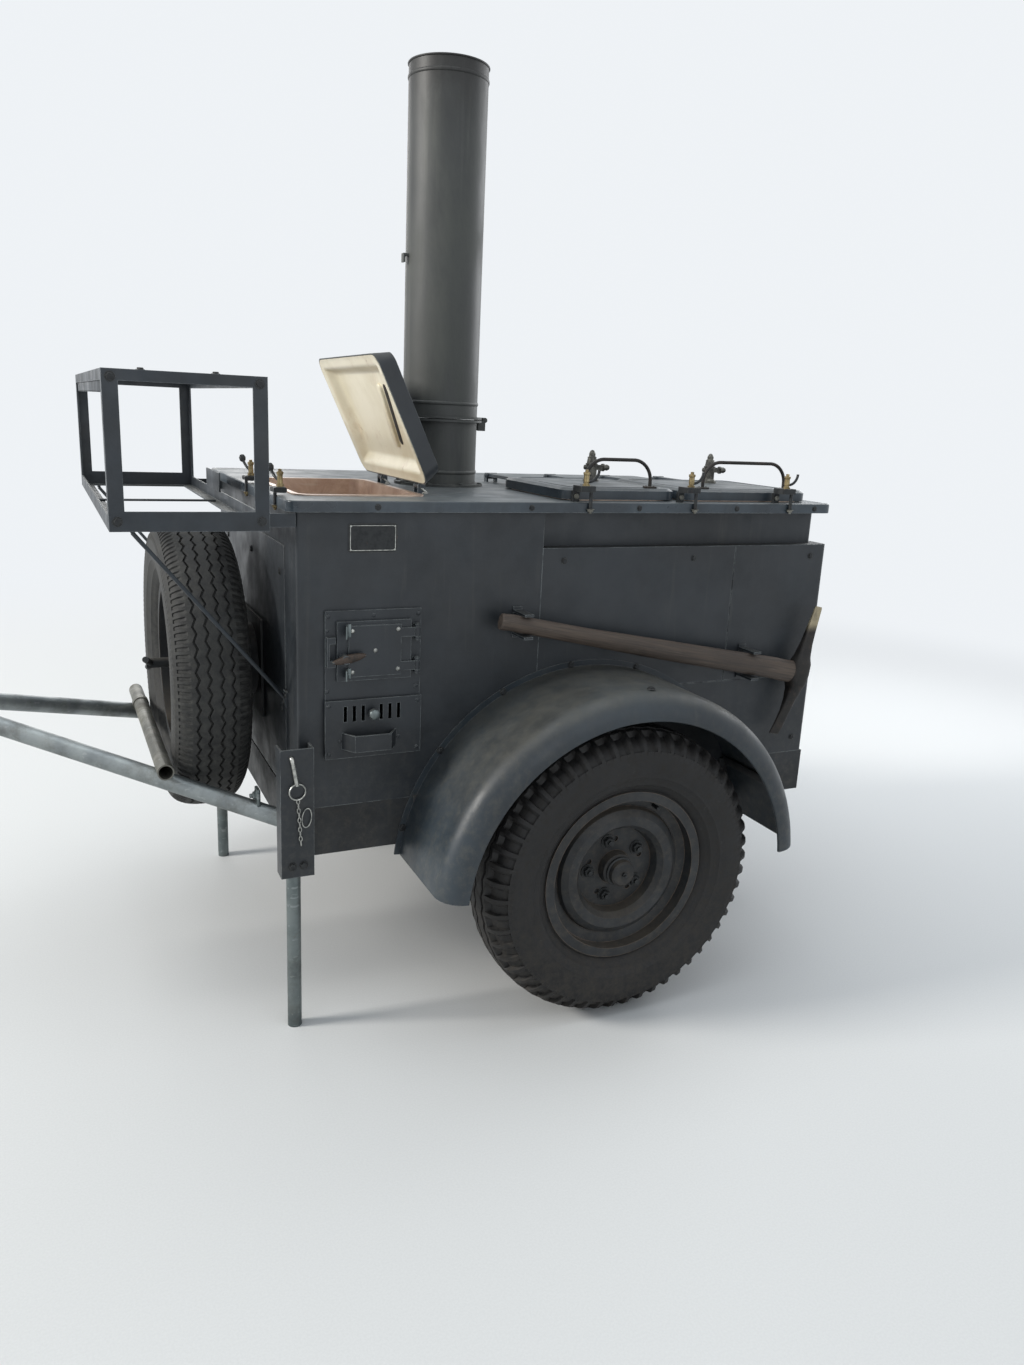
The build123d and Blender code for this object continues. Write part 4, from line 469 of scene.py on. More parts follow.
finishes = {
    "bodyPaint": agedPaint(
        patch=3.2, dark=(29, 33, 37), light=(41, 46, 51), dust=(96, 94, 87), bare=(146, 152, 152), primer=(78, 56, 44),
        runs=0.10, dirtTop=0.95, dustUp=0.30, wear=0.75, chips=0.40, edge=0.004, smooth=0.36, matt=0.55, dents=0.2,
    ),
    "fenderPaint": agedPaint(
        patch=2.4, dark=(34, 41, 47), light=(48, 57, 64), dust=(112, 107, 92), bare=(132, 136, 136),
        primer=(80, 58, 46), runs=0.08, dirtTop=1.0, dustUp=0.34, wear=0.5, chips=0.35, edge=0.004, smooth=0.34,
        matt=0.52, dents=0.25,
    ),
    "framePaint": agedPaint(
        patch=5.0, dark=(24, 26, 28), light=(38, 41, 44), dust=(98, 91, 80), bare=(110, 112, 110), primer=(82, 56, 42),
        runs=0.12, dirtTop=0.9, dustUp=0.40, wear=0.5, chips=0.5, edge=0.003, smooth=0.48, matt=0.7, dents=0.15,
    ),
    "rimPaint": agedPaint(
        patch=7.0, dark=(24, 26, 28), light=(37, 40, 43), dust=(104, 94, 80), bare=(112, 96, 80), primer=(92, 62, 44),
        runs=0.06, dirtTop=0.9, dustUp=0.45, wear=0.8, chips=0.7, edge=0.005, smooth=0.5, matt=0.7, dents=0.1,
    ),
    "rackPaint": agedPaint(
        patch=6.0, dark=(28, 34, 39), light=(42, 49, 56), dust=(116, 115, 108), bare=(140, 146, 148),
        primer=(80, 60, 48), runs=0.03, dirtTop=0.7, dustUp=0.45, wear=0.8, chips=0.55, edge=0.003, smooth=0.36,
        matt=0.55, dents=0.12,
    ),
    "topPaint": agedPaint(
        patch=4.0, dark=(42, 50, 57), light=(66, 76, 84), dust=(124, 126, 122), bare=(150, 154, 154),
        primer=(78, 64, 54), runs=0.08, dirtTop=0.7, dustUp=0.40, wear=0.8, chips=0.6, edge=0.003, smooth=0.26,
        matt=0.44, dents=0.25,
    ),
    "zincTube": dullZinc((122, 128, 130), (150, 156, 156)),
    "legZinc": dullZinc((92, 101, 102), (122, 130, 130)),
    "darkZinc": dullZinc((96, 96, 91), (134, 133, 125), 0.5),
    "forgedIron": forgedIron(),
    "pickIron": forgedIron(tip=0.955),
    "rustyIron": forgedIron(rusted=0.8),
    "stovePipePaint": {  # matt heat-proof paint with faint upright wiping marks, sootier towards the mouth
        "masks": {
            "tone": ((3.5, 6, 0.65, 0.3, 0, (1, 1, 0.35)), 0.35, 0.7), "mouth": ("height", 2.12, 2.33),
            "wiped": ((26, 4, 0.6, 0.1, 0, (1, 1, 0.05)), 0.5, 0.72),
            "soot": ((11, 6, 0.7, 0.2, 0, (1, 1, 0.4)), 0.3, 0.6, 0.3, 0.9),
            "rust": ((30, 7, 0.75, 0, 4.4), 0.68, 0.76), "rough": ("tone", 0, 1, 0.5, 0.72),
        },
        "tones": ((54, 56, 56), (84, 86, 82)),
        "layers": (
            (0.3, (108, 108, 102), "wiped"), (1, (26, 25, 24), "mouth", "soot"), (0.4, (96, 70, 50), "rust"),
        ),
        "bumps": (((7, 2, 0.4, 0, 2.0), 0.008, 0.3), ((140, 4, 0.6), 0.0008, 0.3)),
    },
    "tyreRubber": {  # black rubber, greyer where dust lies low and on the wall
        "shader": {"Specular IOR Level": 0.35},
        "masks": {
            "tone": ((7, 6, 0.7), 0.3, 0.7), "low": ("height", 0.5, 0.02, 0.16, 0.42),
            "dust": ((48, 7, 0.78, 0, 2.4), 0.36, 0.74), "scuffs": ((60, 5, 0.7, 0.8, 7.0), 0.62, 0.72),
            "rough": ("dust", 0, 1, 0.55, 0.82),
        },
        "tones": ((20, 20, 21), (31, 31, 32)),
        "layers": ((1, (92, 86, 78), "low", "dust"), (0.18, (82, 82, 80), "scuffs")),
        "bumps": (((90, 4, 0.65, 0.4), 0.0012, 0.3), ((260, 3, 0.6), 0.0004, 0.4)),
    },
    "spareRubber": {  # older rubber, paler with dry dust on the tread
        "shader": {"Specular IOR Level": 0.35},
        "masks": {
            "tone": ((8, 6, 0.7), 0.3, 0.7), "dust": ((52, 7, 0.78, 0, 2.4), 0.34, 0.74),
            "rough": ("dust", 0, 1, 0.62, 0.86),
        },
        "tones": ((26, 26, 27), (40, 41, 41)),
        "layers": ((0.34, (108, 107, 102), "dust"),),
        "bumps": (((260, 3, 0.6), 0.0004, 0.4),),
    },
    "creamEnamel": {  # cream enamel with grease films, brown specks and chipped edges
        "shader": {"Coat Weight": 0.25, "Coat Roughness": 0.2},
        "masks": {
            "tone": ((6, 5, 0.6), 0.35, 0.7), "grease": ((9, 6, 0.7, 0.6, 3.0), 0.5, 0.72),
            "specks": ((75, 4, 0.7, 0, 1.0), 0.68, 0.74), "edges": (0.003, 0.05, 0.35),
            "chips": ((40, 5, 0.7), 0.5, 0.6), "rough": ("grease", 0, 1, 0.42, 0.26),
        },
        "tones": ((232, 225, 202), (216, 207, 180)),
        "layers": (
            (0.45, (176, 148, 106), "grease"), (0.5, (120, 88, 56), "specks"), (0.7, (70, 62, 54), "edges", "chips"),
        ),
        "bumps": (((18, 3, 0.5), 0.002, 0.2),),
    },
    "brownedSteel": {  # bare pan steel, browned by fat and fire, brighter where it is scraped
        "shader": {"Metallic": 0.6},
        "masks": {
            "tone": ((8, 6, 0.7, 0.4), 0.3, 0.7), "burnt": ((12, 6, 0.7, 0.5, 5.0), 0.5, 0.75),
            "scraped": ((60, 4, 0.6, 0.2, 0, (0.12, 1, 1)), 0.6, 0.7), "rough": ("burnt", 0, 1, 0.34, 0.6),
        },
        "tones": ((176, 150, 134), (210, 190, 174)),
        "layers": ((0.4, (118, 84, 64), "burnt"), (0.4, (200, 190, 176), "scraped")),
        "bumps": (((120, 4, 0.6), 0.0005, 0.3),),
    },
    "dullBrass": {  # brass gone brown in its hollows
        "shader": {"Metallic": 0.9},
        "masks": {"tone": ((40, 5, 0.7), 0.35, 0.65), "rough": ("tone", 0, 1, 0.5, 0.3)},
        "tones": ((106, 93, 68), (160, 144, 108)),
        "bumps": (((220, 3, 0.6), 0.0003, 0.3),),
    },
    "greyWood": {  # weathered ash wood: its pattern is turned by the handle's slope, so the grain runs along it
        "turn": 11.43,
        "masks": {
            "tone": ((240, 4, 0.6, 0, 0, (0.03, 1, 1)), 0.3, 0.7),
            "stain": ((9, 5, 0.6, 0, 2.0, (0.5, 1, 1)), 0.4, 0.7),
            "dry": ((60, 5, 0.7, 0, 4.0, (0.15, 1, 1)), 0.58, 0.7),
            "rough": ((240, 4, 0.6, 0, 0, (0.03, 1, 1)), 0.3, 0.7, 0.55, 0.75),
        },
        "tones": ((62, 53, 47), (96, 84, 74)),
        "layers": ((0.5, (48, 41, 38), "stain"), (0.35, (122, 112, 100), "dry")),
        "bumps": (((240, 4, 0.6, 0, 0, (0.03, 1, 1)), 0.0004, 0.35),),
    },
    "sootyIron": {  # the inside of the fire chambers: black soot with ash on top
        "masks": {
            "tone": ((10, 7, 0.75), 0.35, 0.7), "up": ("facing", 0.4, 0.95), "ash": ((22, 6, 0.75), 0.4, 0.65),
            "rough": ("tone", 0, 1, 0.8, 0.95),
        },
        "tones": ((22, 20, 19), (46, 40, 36)),
        "layers": ((0.7, (112, 106, 100), "up", "ash"),),
        "bumps": (((80, 6, 0.75), 0.003, 0.5),),
    },
    "brightSteel": {  # plated steel of pins, chain and small bolts
        "shader": {"Metallic": 0.9},
        "masks": {
            "tone": ((60, 5, 0.7), 0.3, 0.7), "rust": ((90, 5, 0.7, 0, 2.0), 0.62, 0.7),
            "rough": ("tone", 0, 1, 0.5, 0.3),
        },
        "tones": ((126, 128, 126), (196, 196, 190)),
        "layers": ((0.5, (110, 80, 56), "rust"),),
    },
    "castMetal": {  # dull grey cast metal with a sandy skin and rubbed edges
        "shader": {"Metallic": 0.7},
        "masks": {
            "tone": ((45, 5, 0.7), 0.35, 0.65), "edges": (0.002, 0.05, 0.3), "rough": ("tone", 0, 1, 0.58, 0.4),
        },
        "tones": ((66, 66, 64), (104, 103, 97)),
        "layers": ((0.5, (168, 165, 152), "edges"),),
        "bumps": (((240, 4, 0.65), 0.0005, 0.45),),
    },
    "blackenedSteel": {  # painted or blackened bolt heads, rubbed bright on their corners
        "shader": {"Metallic": 0.5},
        "masks": {
            "tone": ((50, 5, 0.7), 0.35, 0.65), "rust": ((70, 5, 0.75, 0, 2.0), 0.6, 0.7),
            "edges": (0.0015, 0.06, 0.35), "rough": ("tone", 0, 1, 0.4, 0.6),
        },
        "tones": ((30, 32, 34), (54, 56, 57)),
        "layers": ((0.4, (92, 66, 48), "rust"), (0.55, (140, 140, 136), "edges")),
        "bumps": (((220, 4, 0.6), 0.0003, 0.35),),
    },
}
looks = {name: makeFinish(name, settings) for name, settings in finishes.items()}

nodeLooks = {
    "bodyPaint": (
        "fire_section", "kettle_jacket", "kettle_casing", "pan_lid", "door_frame_front", "door_frame_rear",
        "fire_door", "ash_drawer", "rear_fire_door", "rear_ash_door", "stand_channels", "pick_brackets",
    ),
    "framePaint": ("chassis_frame", "axle_beam", "leaf_springs", "tow_pole", "spare_carrier"),
    "rimPaint": ("rim_left", "rim_right", "hub_left", "hub_right", "spare_rim"),
    "fenderPaint": ("fender_left", "fender_right"),
    "rackPaint": ("rack_frame",),
    "topPaint": ("top_plate", "kettle_lid_front", "kettle_lid_rear"),
    "stovePipePaint": ("chimney_stub", "chimney_pipe"),
    "tyreRubber": ("tyre_left", "tyre_right"),
    "spareRubber": ("spare_tyre",),
    "zincTube": ("drawbar_left", "drawbar_right"),
    "darkZinc": ("drawbar_cross_tube",),
    "legZinc": ("stand_leg_left", "stand_leg_right"),
    "creamEnamel": ("pan_lid_liner",),
    "brownedSteel": ("roasting_pan", "kettle_front", "kettle_rear"),
    "sootyIron": ("front_firebox", "rear_firebox"),
    "forgedIron": ("pick_head", "lid_fittings_front", "lid_fittings_rear"),
    "castMetal": ("relief_valve_front", "relief_valve_rear"),
    "blackenedSteel": ("information_plate", "lid_clamps"),
    "greyWood": ("pick_handle",),
}
for look, names in nodeLooks.items():
    for name in names:
        nodes[name].data.materials.clear()
        nodes[name].data.materials.append(looks[look])
print("finishes set")


# Camera and light

camera = {
    "fromAxle": (1.273, 2.719, 1.485),
    "turn": 25.43,  # degrees from looking straight across the trailer towards its rear
    "down": 14.94,
    "roll": 2.718,
    "lens": 26.70,
}


def stand(name, data, directions, place):
    # a camera or lamp at a place, with its own X, Y and Z along three directions
    item = bpy.data.objects.new(name, data)
    item.matrix_world = Matrix([[*row, at] for row, at in zip(np.transpose(directions), place)] + [[0, 0, 0, 1]])
    bpy.context.scene.collection.objects.link(item)
    return item


def placeCamera(settings):
    turn, down, roll = (radians(settings[key]) for key in ("turn", "down", "roll"))
    forward = np.array([-sin(turn) * cos(down), -cos(turn) * cos(down), -sin(down)])
    right = np.array([-cos(turn), sin(turn), 0.0])
    up = np.cross(right, forward)
    data = bpy.data.cameras.new("camera")
    data.lens = settings["lens"]
    data.sensor_width = 36
    data.clip_end = 60
    directions = (cos(roll) * right + sin(roll) * up, cos(roll) * up - sin(roll) * right, -forward)
    bpy.context.scene.camera = stand("camera", data, directions, fromAxle(*settings["fromAxle"]))


placeCamera(camera)

lampTable = (
    # name, place, aimed at, width, strength in watts, colour
    ("keyLamp", (9.9, -1.4, 5.6), (0.3, 0.0, 0.8), 2.4, 1020, (1.0, 0.97, 0.92)),
    ("skyLamp", (0.2, 0.2, 6.4), (0.0, 0.0, 0.6), 5.0, 115, (0.93, 0.97, 1.0)),
    ("fillLamp", (-1.2, 5.0, 2.4), (-0.2, 0.0, 0.7), 3.5, 26, (0.95, 0.98, 1.0)),
    ("rearLamp", (-4.4, -1.2, 2.6), (-0.6, 0.0, 0.8), 2.5, 70, (0.97, 0.98, 1.0)),
    ("rightLamp", (0.0, -7.0, 3.4), (0.0, 0.0, 0.7), 3.5, 90, (1.0, 0.98, 0.96)),
)
for lampName, place, target, width, strength, colour in lampTable:
    data = bpy.data.lights.new(lampName, "AREA")
    data.size = width
    data.energy = strength
    data.color = colour
    stand(lampName, data, basis(np.subtract(place, target)), place)

sky = {"shown": (0.86, 0.89, 0.92, 1), "light": (0.80, 0.87, 0.95, 1), "strength": 0.45}


def shownRays(kit):
    # 1 for rays from the camera, off gloss or through glass, and 0 for those that carry light
    total = addNode(kit, "ShaderNodeLightPath", output="Is Camera Ray")
    for name in ("Is Glossy Ray", "Is Transmission Ray"):
        total = maths(kit, "MAXIMUM", total, addNode(kit, "ShaderNodeLightPath", output=name))
    return total


def setWorld(settings):
    # an even pale sky: plain to the camera and in reflections, dimmer as light
    world = bpy.data.worlds.new("studio")
    bpy.context.scene.world = world
    world.use_nodes = True
    kit = {"tree": world.node_tree}
    kit["tree"].nodes.clear()
    shown = addNode(kit, "ShaderNodeBackground", {"Color": settings["shown"]})
    light = addNode(kit, "ShaderNodeBackground", {"Color": settings["light"], "Strength": settings["strength"]})
    chosen = addNode(kit, "ShaderNodeMixShader", {0: shownRays(kit), 1: light, 2: shown})
    kit["tree"].links.new(chosen, kit["tree"].nodes.new("ShaderNodeOutputWorld").inputs["Surface"])


def layFloor(half=30.0, near=2.6, far=6.5):
    # a pale flat sheet: it takes the shadow near the trailer and runs into the sky's colour between near and far
    mesh = bpy.data.meshes.new("floor")
    mesh.from_pydata([(-half, -half, 0), (half, -half, 0), (half, half, 0), (-half, half, 0)], [], [(0, 1, 2, 3)])
    kit = startMaterial("paleFloor", Roughness=0.9, **{"Specular IOR Level": 0.1})
    grain = spread(kit, noise(kit, 220, 3, 0.6), 0.3, 0.7)
    tree = kit["tree"]
    tree.links.new(blend(kit, grain, (220, 221, 220), (224, 225, 224)), kit["shader"].inputs["Base Color"])
    reach = addNode(kit, "ShaderNodeVectorMath", {0: kit["place"]}, "Value", operation="LENGTH")
    share = maths(kit, "MULTIPLY", spread(kit, reach, near, far), shownRays(kit))
    pale = addNode(kit, "ShaderNodeEmission", {"Color": sky["shown"]})
    mixed = addNode(kit, "ShaderNodeMixShader", {0: share, 1: kit["shader"].outputs[0], 2: pale})
    tree.links.new(mixed, kit["output"].inputs["Surface"])
    mesh.materials.append(kit["material"])
    floor = bpy.data.objects.new("floor", mesh)
    bpy.context.scene.collection.objects.link(floor)


setWorld(sky)
bpy.context.scene.view_settings.view_transform = "Standard"
layFloor()
print("camera, lamps and floor set")


# Tyres: the cross-section is a superellipse, and the tread's columns follow the zigzag of its grooves

def casing(settings, count=34):
    # wall outline from bead to shoulder as (offset, radius): |y/w|^n + |(r-r0)/h|^n = 1
    angle = np.linspace(settings["beadAngle"], settings["shoulderAngle"], count)
    power = 2 / np.where(angle < 90, settings["crownPower"], settings["wallPower"])
    height = np.where(angle < 90, settings["radius"] - settings["middle"], settings["wallDrop"])
    s, c = np.sin(np.radians(angle)), np.cos(np.radians(angle))
    return settings["width"] / 2 * s**power, settings["middle"] + height * np.sign(c) * np.abs(c) ** power


def tyreShape(centre, axis, settings):
    # rows run round the axle, columns run over the section; radius = crown - groove depth - notch depth
    pitches, fractions = settings["pitches"], np.array(settings["rowShares"])
    share = (np.arange(pitches)[:, None] + fractions[None, :]).ravel() / pitches
    inPitch = np.tile(fractions, pitches)
    zigzag = np.abs(((inPitch + 0.25) % 1) * 2 - 1) * 2 - 1
    wallY, wallR = casing(settings)
    edge, walls = wallY[-1], len(wallY) - 1
    half, lip = settings["grooveWidth"] / 2, settings["grooveLip"]
    cuts = np.array(settings["grooves"]) * edge
    lips = ((-half - lip, 0), (-half, 0), (-half + lip, 1), (half - lip, 1), (half, 0), (half + lip, 0))
    columns = [(cut + y, deep) for cut in cuts for y, deep in lips]  # offset and share of the groove's depth
    bounds = np.concatenate([[-edge], cuts, [edge]])
    for low, high in zip(bounds[:-1], bounds[1:]):
        inner = np.linspace(low + half + 2 * lip, high - half - 2 * lip, settings["ribColumns"])
        columns += [(y, 0) for y in inner]
    treadY, groove = np.array(sorted(columns)).T
    fade = np.clip((edge * settings["fadeFrom"] - np.abs(treadY)) / (edge * settings["fadeOver"]), 0, 1)
    crown = settings["radius"] - (settings["radius"] - wallR[-1]) * (np.abs(treadY) / edge) ** settings["crownCurve"]
    y = np.concatenate([-wallY[:-1], treadY, wallY[-2::-1]])
    r = np.concatenate([wallR[:-1], crown, wallR[-2::-1]])
    depth = np.pad(groove * settings["grooveDepth"], walls)
    slide = np.pad(fade * settings["zigzag"], walls)
    shoulder = (np.abs(y) > settings["lugFrom"] * edge) & (r > settings["lugLow"])
    lug = np.where(shoulder, np.minimum(1, (np.abs(y) / edge - settings["lugFrom"]) * settings["lugSlope"]), 0)
    inNotch = (inPitch * settings["notchesPerPitch"]) % 1
    notch = ((inNotch > settings["notch"][0]) & (inNotch < settings["notch"][1])).astype(float)
    onWall = np.abs(y) > settings["wallFrom"]
    fromRings = (r[None, :] - np.array(settings["ringRadii"])[:, None]) / settings["ringHalf"]
    rib = np.exp(-(fromRings**2)).sum(axis=0) * settings["ringRise"] * onWall
    bars = ((inPitch * settings["barsPerPitch"]) % 1 > 0.5) * settings["barRise"]
    barBand = np.exp(-(((r - settings["barRadius"]) / settings["barHalf"]) ** 4)) * onWall
    offsets = y[None, :] + slide[None, :] * zigzag[:, None]
    offsets = offsets + np.sign(y)[None, :] * (rib[None, :] + bars[:, None] * barBand[None, :])
    offsets = np.clip(offsets, -settings["width"] / 2, settings["width"] / 2)
    radii = r[None, :] - depth[None, :] - lug[None, :] * notch[:, None] * settings["notchDepth"]
    beadY, beadR = settings["bead"]
    column = np.ones((len(share), 1))
    offsets = np.hstack([-beadY * column, offsets, beadY * column])
    radii = np.hstack([beadR * column, radii, beadR * column])
    across, up, along = basis(axis)
    ring = arc((0, 0, 0), across, up, share * 2 * pi)
    grid = centre + radii[..., None] * ring[:, None, :] + offsets[..., None] * along
    return netShape(grid, closeRows=True, closeColumns=True)


roadTyre = {
    "width": 0.185, "radius": 0.3795, "middle": 0.296, "wallDrop": 0.088, "crownPower": 2.9, "wallPower": 2.2,
    "beadAngle": 141.5, "shoulderAngle": 37.0, "bead": (0.0595, 0.2035), "pitches": 54,
    "rowShares": (0, 0.04, 0.25, 0.46, 0.5, 0.54, 0.75, 0.96), "zigzag": 0.0045, "grooves": (-0.52, 0.0, 0.52),
    "grooveWidth": 0.008, "grooveLip": 0.0012, "grooveDepth": 0.008, "ribColumns": 4, "fadeFrom": 0.86,
    "fadeOver": 0.2, "crownCurve": 2.4, "lugFrom": 0.72, "lugSlope": 12, "lugLow": 0.335, "notch": (0.45, 0.97),
    "notchDepth": 0.012, "notchesPerPitch": 1, "wallFrom": 0.07, "ringRadii": (0.232, 0.246, 0.268, 0.318, 0.336),
    "ringHalf": 0.0032, "ringRise": 0.0018, "barRadius": 0.327, "barHalf": 0.009, "barsPerPitch": 2, "barRise": 0.0012,
}
spareTyre = {
    **roadTyre,
    "pitches": 66, "zigzag": 0.004, "grooves": (-0.62, -0.22, 0.22, 0.62), "grooveWidth": 0.0062,
    "rowShares": (0, 0.05, 0.2, 0.25, 0.3, 0.45, 0.5, 0.55, 0.7, 0.75, 0.8, 0.95), "notchesPerPitch": 2,
    "grooveDepth": 0.007, "lugFrom": 0.85, "lugLow": 0.350, "notch": (0.45, 0.95), "notchDepth": 0.0045,
}
for name, node, wheelAxis, body, look, settings in (
    ("treadedTyreLeft", "tyre_left", (0, 1, 0), "wheel_left", "tyreRubber", roadTyre),
    ("treadedTyreRight", "tyre_right", (0, 1, 0), "wheel_right", "tyreRubber", roadTyre),
    ("treadedSpare", "spare_tyre", (1, 0, 0), "chassis", "spareRubber", spareTyre),
):
    shape = tyreShape(middleOf(node), wheelAxis, settings)
    addPiece(name, shape, look, body, 28, replaces=(node,))
print("tyres made")

# Wheels: nuts on studs in the disc's five holes, a bead and a nipple on the grease cap, and the valve stem

wheelParts = {
    "boltCircle": 0.0765, "discFront": 0.695, "nut": (0.028, 0.014, 0.007),
    "bead": ((0.722, 0.0345), (0.724, 0.0385), (0.729, 0.0385), (0.731, 0.0340), (0.726, 0.0325), (0.722, 0.0345)),
    "nipple": ((0.745, 0), (0.745, 0.006), (0.752, 0.006), (0.753, 0.0035), (0.758, 0.003), (0.760, 0)),
    "stemRadius": 0.187, "stemAngle": 118,
    "stem": ((0.712, 0), (0.712, 0.0045), (0.732, 0.0042), (0.733, 0.0052), (0.743, 0.0048), (0.744, 0.004),
             (0.744, 0)),
}
fifths = radians(72) * np.arange(5)
for sign, side in bothSides:
    body = "wheel_" + side.lower()
    reach, outward, hub = wheelParts["boltCircle"], (0, sign, 0), (axle[0], 0, axle[2])
    holes = arc((axle[0], sign * wheelParts["discFront"], axle[2]), (reach, 0, 0), (0, 0, -reach), fifths)
    addFasteners("wheelNuts" + side, nuts(holes, outward, *wheelParts["nut"]), body)
    cap = [turned(hub, outward, wheelParts[key], 36) for key in ("bead", "nipple")]
    addPiece("greaseCap" + side, cap, "blackenedSteel", body)
    reach, angle = wheelParts["stemRadius"], radians(wheelParts["stemAngle"])
    stem = turned(fromAxle(reach * cos(angle), 0, axle[2] + reach * sin(angle)), outward, wheelParts["stem"], 14)
    addPiece("tyreValve" + side, stem, "blackenedSteel", body)
print("wheel parts made")

# Fenders: bolts through the flange on the body, one on the crown, and two flat stays under each

fender = {
    "centreZ": 0.352, "flangeRadius": 0.5165, "flangeSheet": 0.003, "sheetRadius": 0.507,
    "boltAngles": (14, 38, 62, 84, 106, 128, 150, 168),
    "bolt": (0.014, 0.005), "crownBolt": (0.015, 0.005), "crownAt": (-0.031, 0.752, 0.862),
    "stayAngles": (24, 156), "stayY": (0.58, 0.68, 0.765), "staySize": (0.03, 0.004, 0.0015, 2),
    "stayDrop": (-0.002, 0.03, 0.07), "staySink": 0.003, "stayGap": 0.004,
}
for sign, side in bothSides:
    reach, outward = fender["flangeRadius"], (0, sign, 0)
    middle = fromAxle(0, sign * (bodyLeft + fender["flangeSheet"]), fender["centreZ"])
    places = arc(middle, (reach, 0, 0), (0, 0, reach), np.radians(fender["boltAngles"]))
    crown = heads([fromAxle(*fender["crownAt"]) * (1, sign, 1)], zUp, *fender["crownBolt"], turn=0.2)
    bolts = heads(places, outward, *fender["bolt"], turn=0.4)
    addFasteners("fenderBolts" + side, [bolts, crown])
    outline = softOutline(*fender["staySize"])
    stays = []
    for angle in np.radians(fender["stayAngles"]):
        away = np.array([cos(angle), 0, sin(angle)])
        foot = fromAxle(0, 0, fender["centreZ"]) + away * (fender["sheetRadius"] - fender["staySink"])
        root = foot + (0, sign * (bodyLeft + fender["stayGap"]), 0)
        stays.append(carried([root] + [foot + (0, sign * y, 0) for y in fender["stayY"]], outline, up=away))
        stays.append(carried([root - (0, 0, drop) for drop in fender["stayDrop"]], outline, up=outward))
    addPiece("fenderStays" + side, stays, "framePaint", sharp=28)
print("fender parts made")

# Screws of the body: jacket, rear wall, the top plate's skirt and the front panel

bodyParts = {
    "screw": (0.013, 0.004), "jacketX": (-0.689, -0.297, 0.09), "jacketZ": 1.134, "lowX": (-0.70, -0.57), "lowZ": 0.60,
    "rearY": (-0.44, -0.15, 0.15, 0.44), "skirtScrew": (0.011, 0.0035), "skirtX": (-0.66, -0.40, -0.10, 0.20, 0.581),
    "skirtZ": 1.2665, "panelHalf": 0.39, "panelZ": (0.66, 1.165), "panelCorner": 0.006, "panelSheet": 0.0025,
    "panelSink": 0.0005, "panelScrew": (0.014, 0.004),
    "panelScrews": ((0.0, 1.105), (0.347, 1.099), (-0.347, 1.099), (0.349, 0.764), (-0.349, 0.764)),
}
screws = []
for sign in (1, -1):
    side = [fromAxle(x, sign * bodyLeft, bodyParts["jacketZ"]) for x in bodyParts["jacketX"]]
    side += [fromAxle(x, sign * bodyLeft, bodyParts["lowZ"]) for x in bodyParts["lowX"]]
    skirt = [fromAxle(x, sign * topHigh[1], bodyParts["skirtZ"]) for x in bodyParts["skirtX"]]
    screws.append(heads(side, (0, sign, 0), *bodyParts["screw"], turn=0.5))
    screws.append(heads(skirt, (0, sign, 0), *bodyParts["skirtScrew"], turn=0.7))
rear = [(rearWall, y, z) for y in bodyParts["rearY"] for z in (bodyParts["jacketZ"], bodyParts["lowZ"])]
screws.append(heads(rear, (-1, 0, 0), *bodyParts["screw"]))
addFasteners("bodyScrews", screws)

panelLow, panelHigh = bodyParts["panelZ"]
outline = softOutline(2 * bodyParts["panelHalf"], panelHigh - panelLow, bodyParts["panelCorner"], 3)
middle = (frontWall - bodyParts["panelSink"], 0, (panelLow + panelHigh) / 2)
panel = plate(middle, (1, 0, 0), outline, bodyParts["panelSheet"] + bodyParts["panelSink"])
addPiece("frontPanel", panel, "bodyPaint", sharp=25)
places = [(frontWall + bodyParts["panelSheet"], y, z) for y, z in bodyParts["panelScrews"]]
addFasteners("frontPanelScrews", heads(places, (1, 0, 0), *bodyParts["panelScrew"]))
print("body screws made")

# Information plate: a thin light border with four screws round a dark blank field

infoPlate = {"border": (0.106, 0.056, 0.006, 4), "wire": 0.0012, "screwAt": (0.052, 0.027), "screw": (0.0028, 0.0016)}
middle, face = middleOf("information_plate"), corners("information_plate")[1][1]
border = softOutline(*infoPlate["border"])
path = np.column_stack([middle[0] + border[:, 0], np.full(len(border), face), middle[2] + border[:, 1]])
insetX, insetZ = infoPlate["screwAt"]
places = [(middle[0] + i * insetX, face, middle[2] + k * insetZ) for i in (-1, 1) for k in (-1, 1)]
addPiece("plateBorder", [
    carried(path, roundOutline(infoPlate["wire"], 8), up=(0, 1, 0), closed=True),
    rivets(places, (0, 1, 0), *infoPlate["screw"]),
], "brightSteel", sharp=50)
print("plate border made")

# Doors: rivets of the frames and the inner plates, the air slide's knob, the latch's grip and two bent straps

doorRivets = (
    # name, face, rivet, material, body, places as (x, z)
    ("doorFrameRivets", 0.506, (0.0055, 0.003), "bodyPaint", "chassis",
     ((0.473, 1.018), (0.690, 1.018), (0.582, 1.018), (0.476, 0.842), (0.692, 0.842), (0.692, 0.985))),
    ("fireDoorRivets", 0.519, (0.0055, 0.0035), "brightSteel", "fire_door_body",
     ((0.636, 0.985), (0.581, 0.937), (0.636, 0.888), (0.526, 0.890), (0.526, 0.985))),
    ("drawerRivets", 0.514, (0.005, 0.003), "bodyPaint", "ash_drawer_body",
     ((0.521, 0.721), (0.664, 0.721), (0.474, 0.690), (0.690, 0.690), (0.474, 0.808), (0.690, 0.808))),
)
for name, face, rivet, look, body, places in doorRivets:
    shape = rivets([fromAxle(x, face, z) for x, z in places], (0, 1, 0), *rivet)
    addPiece(name, shape, look, body, 50)

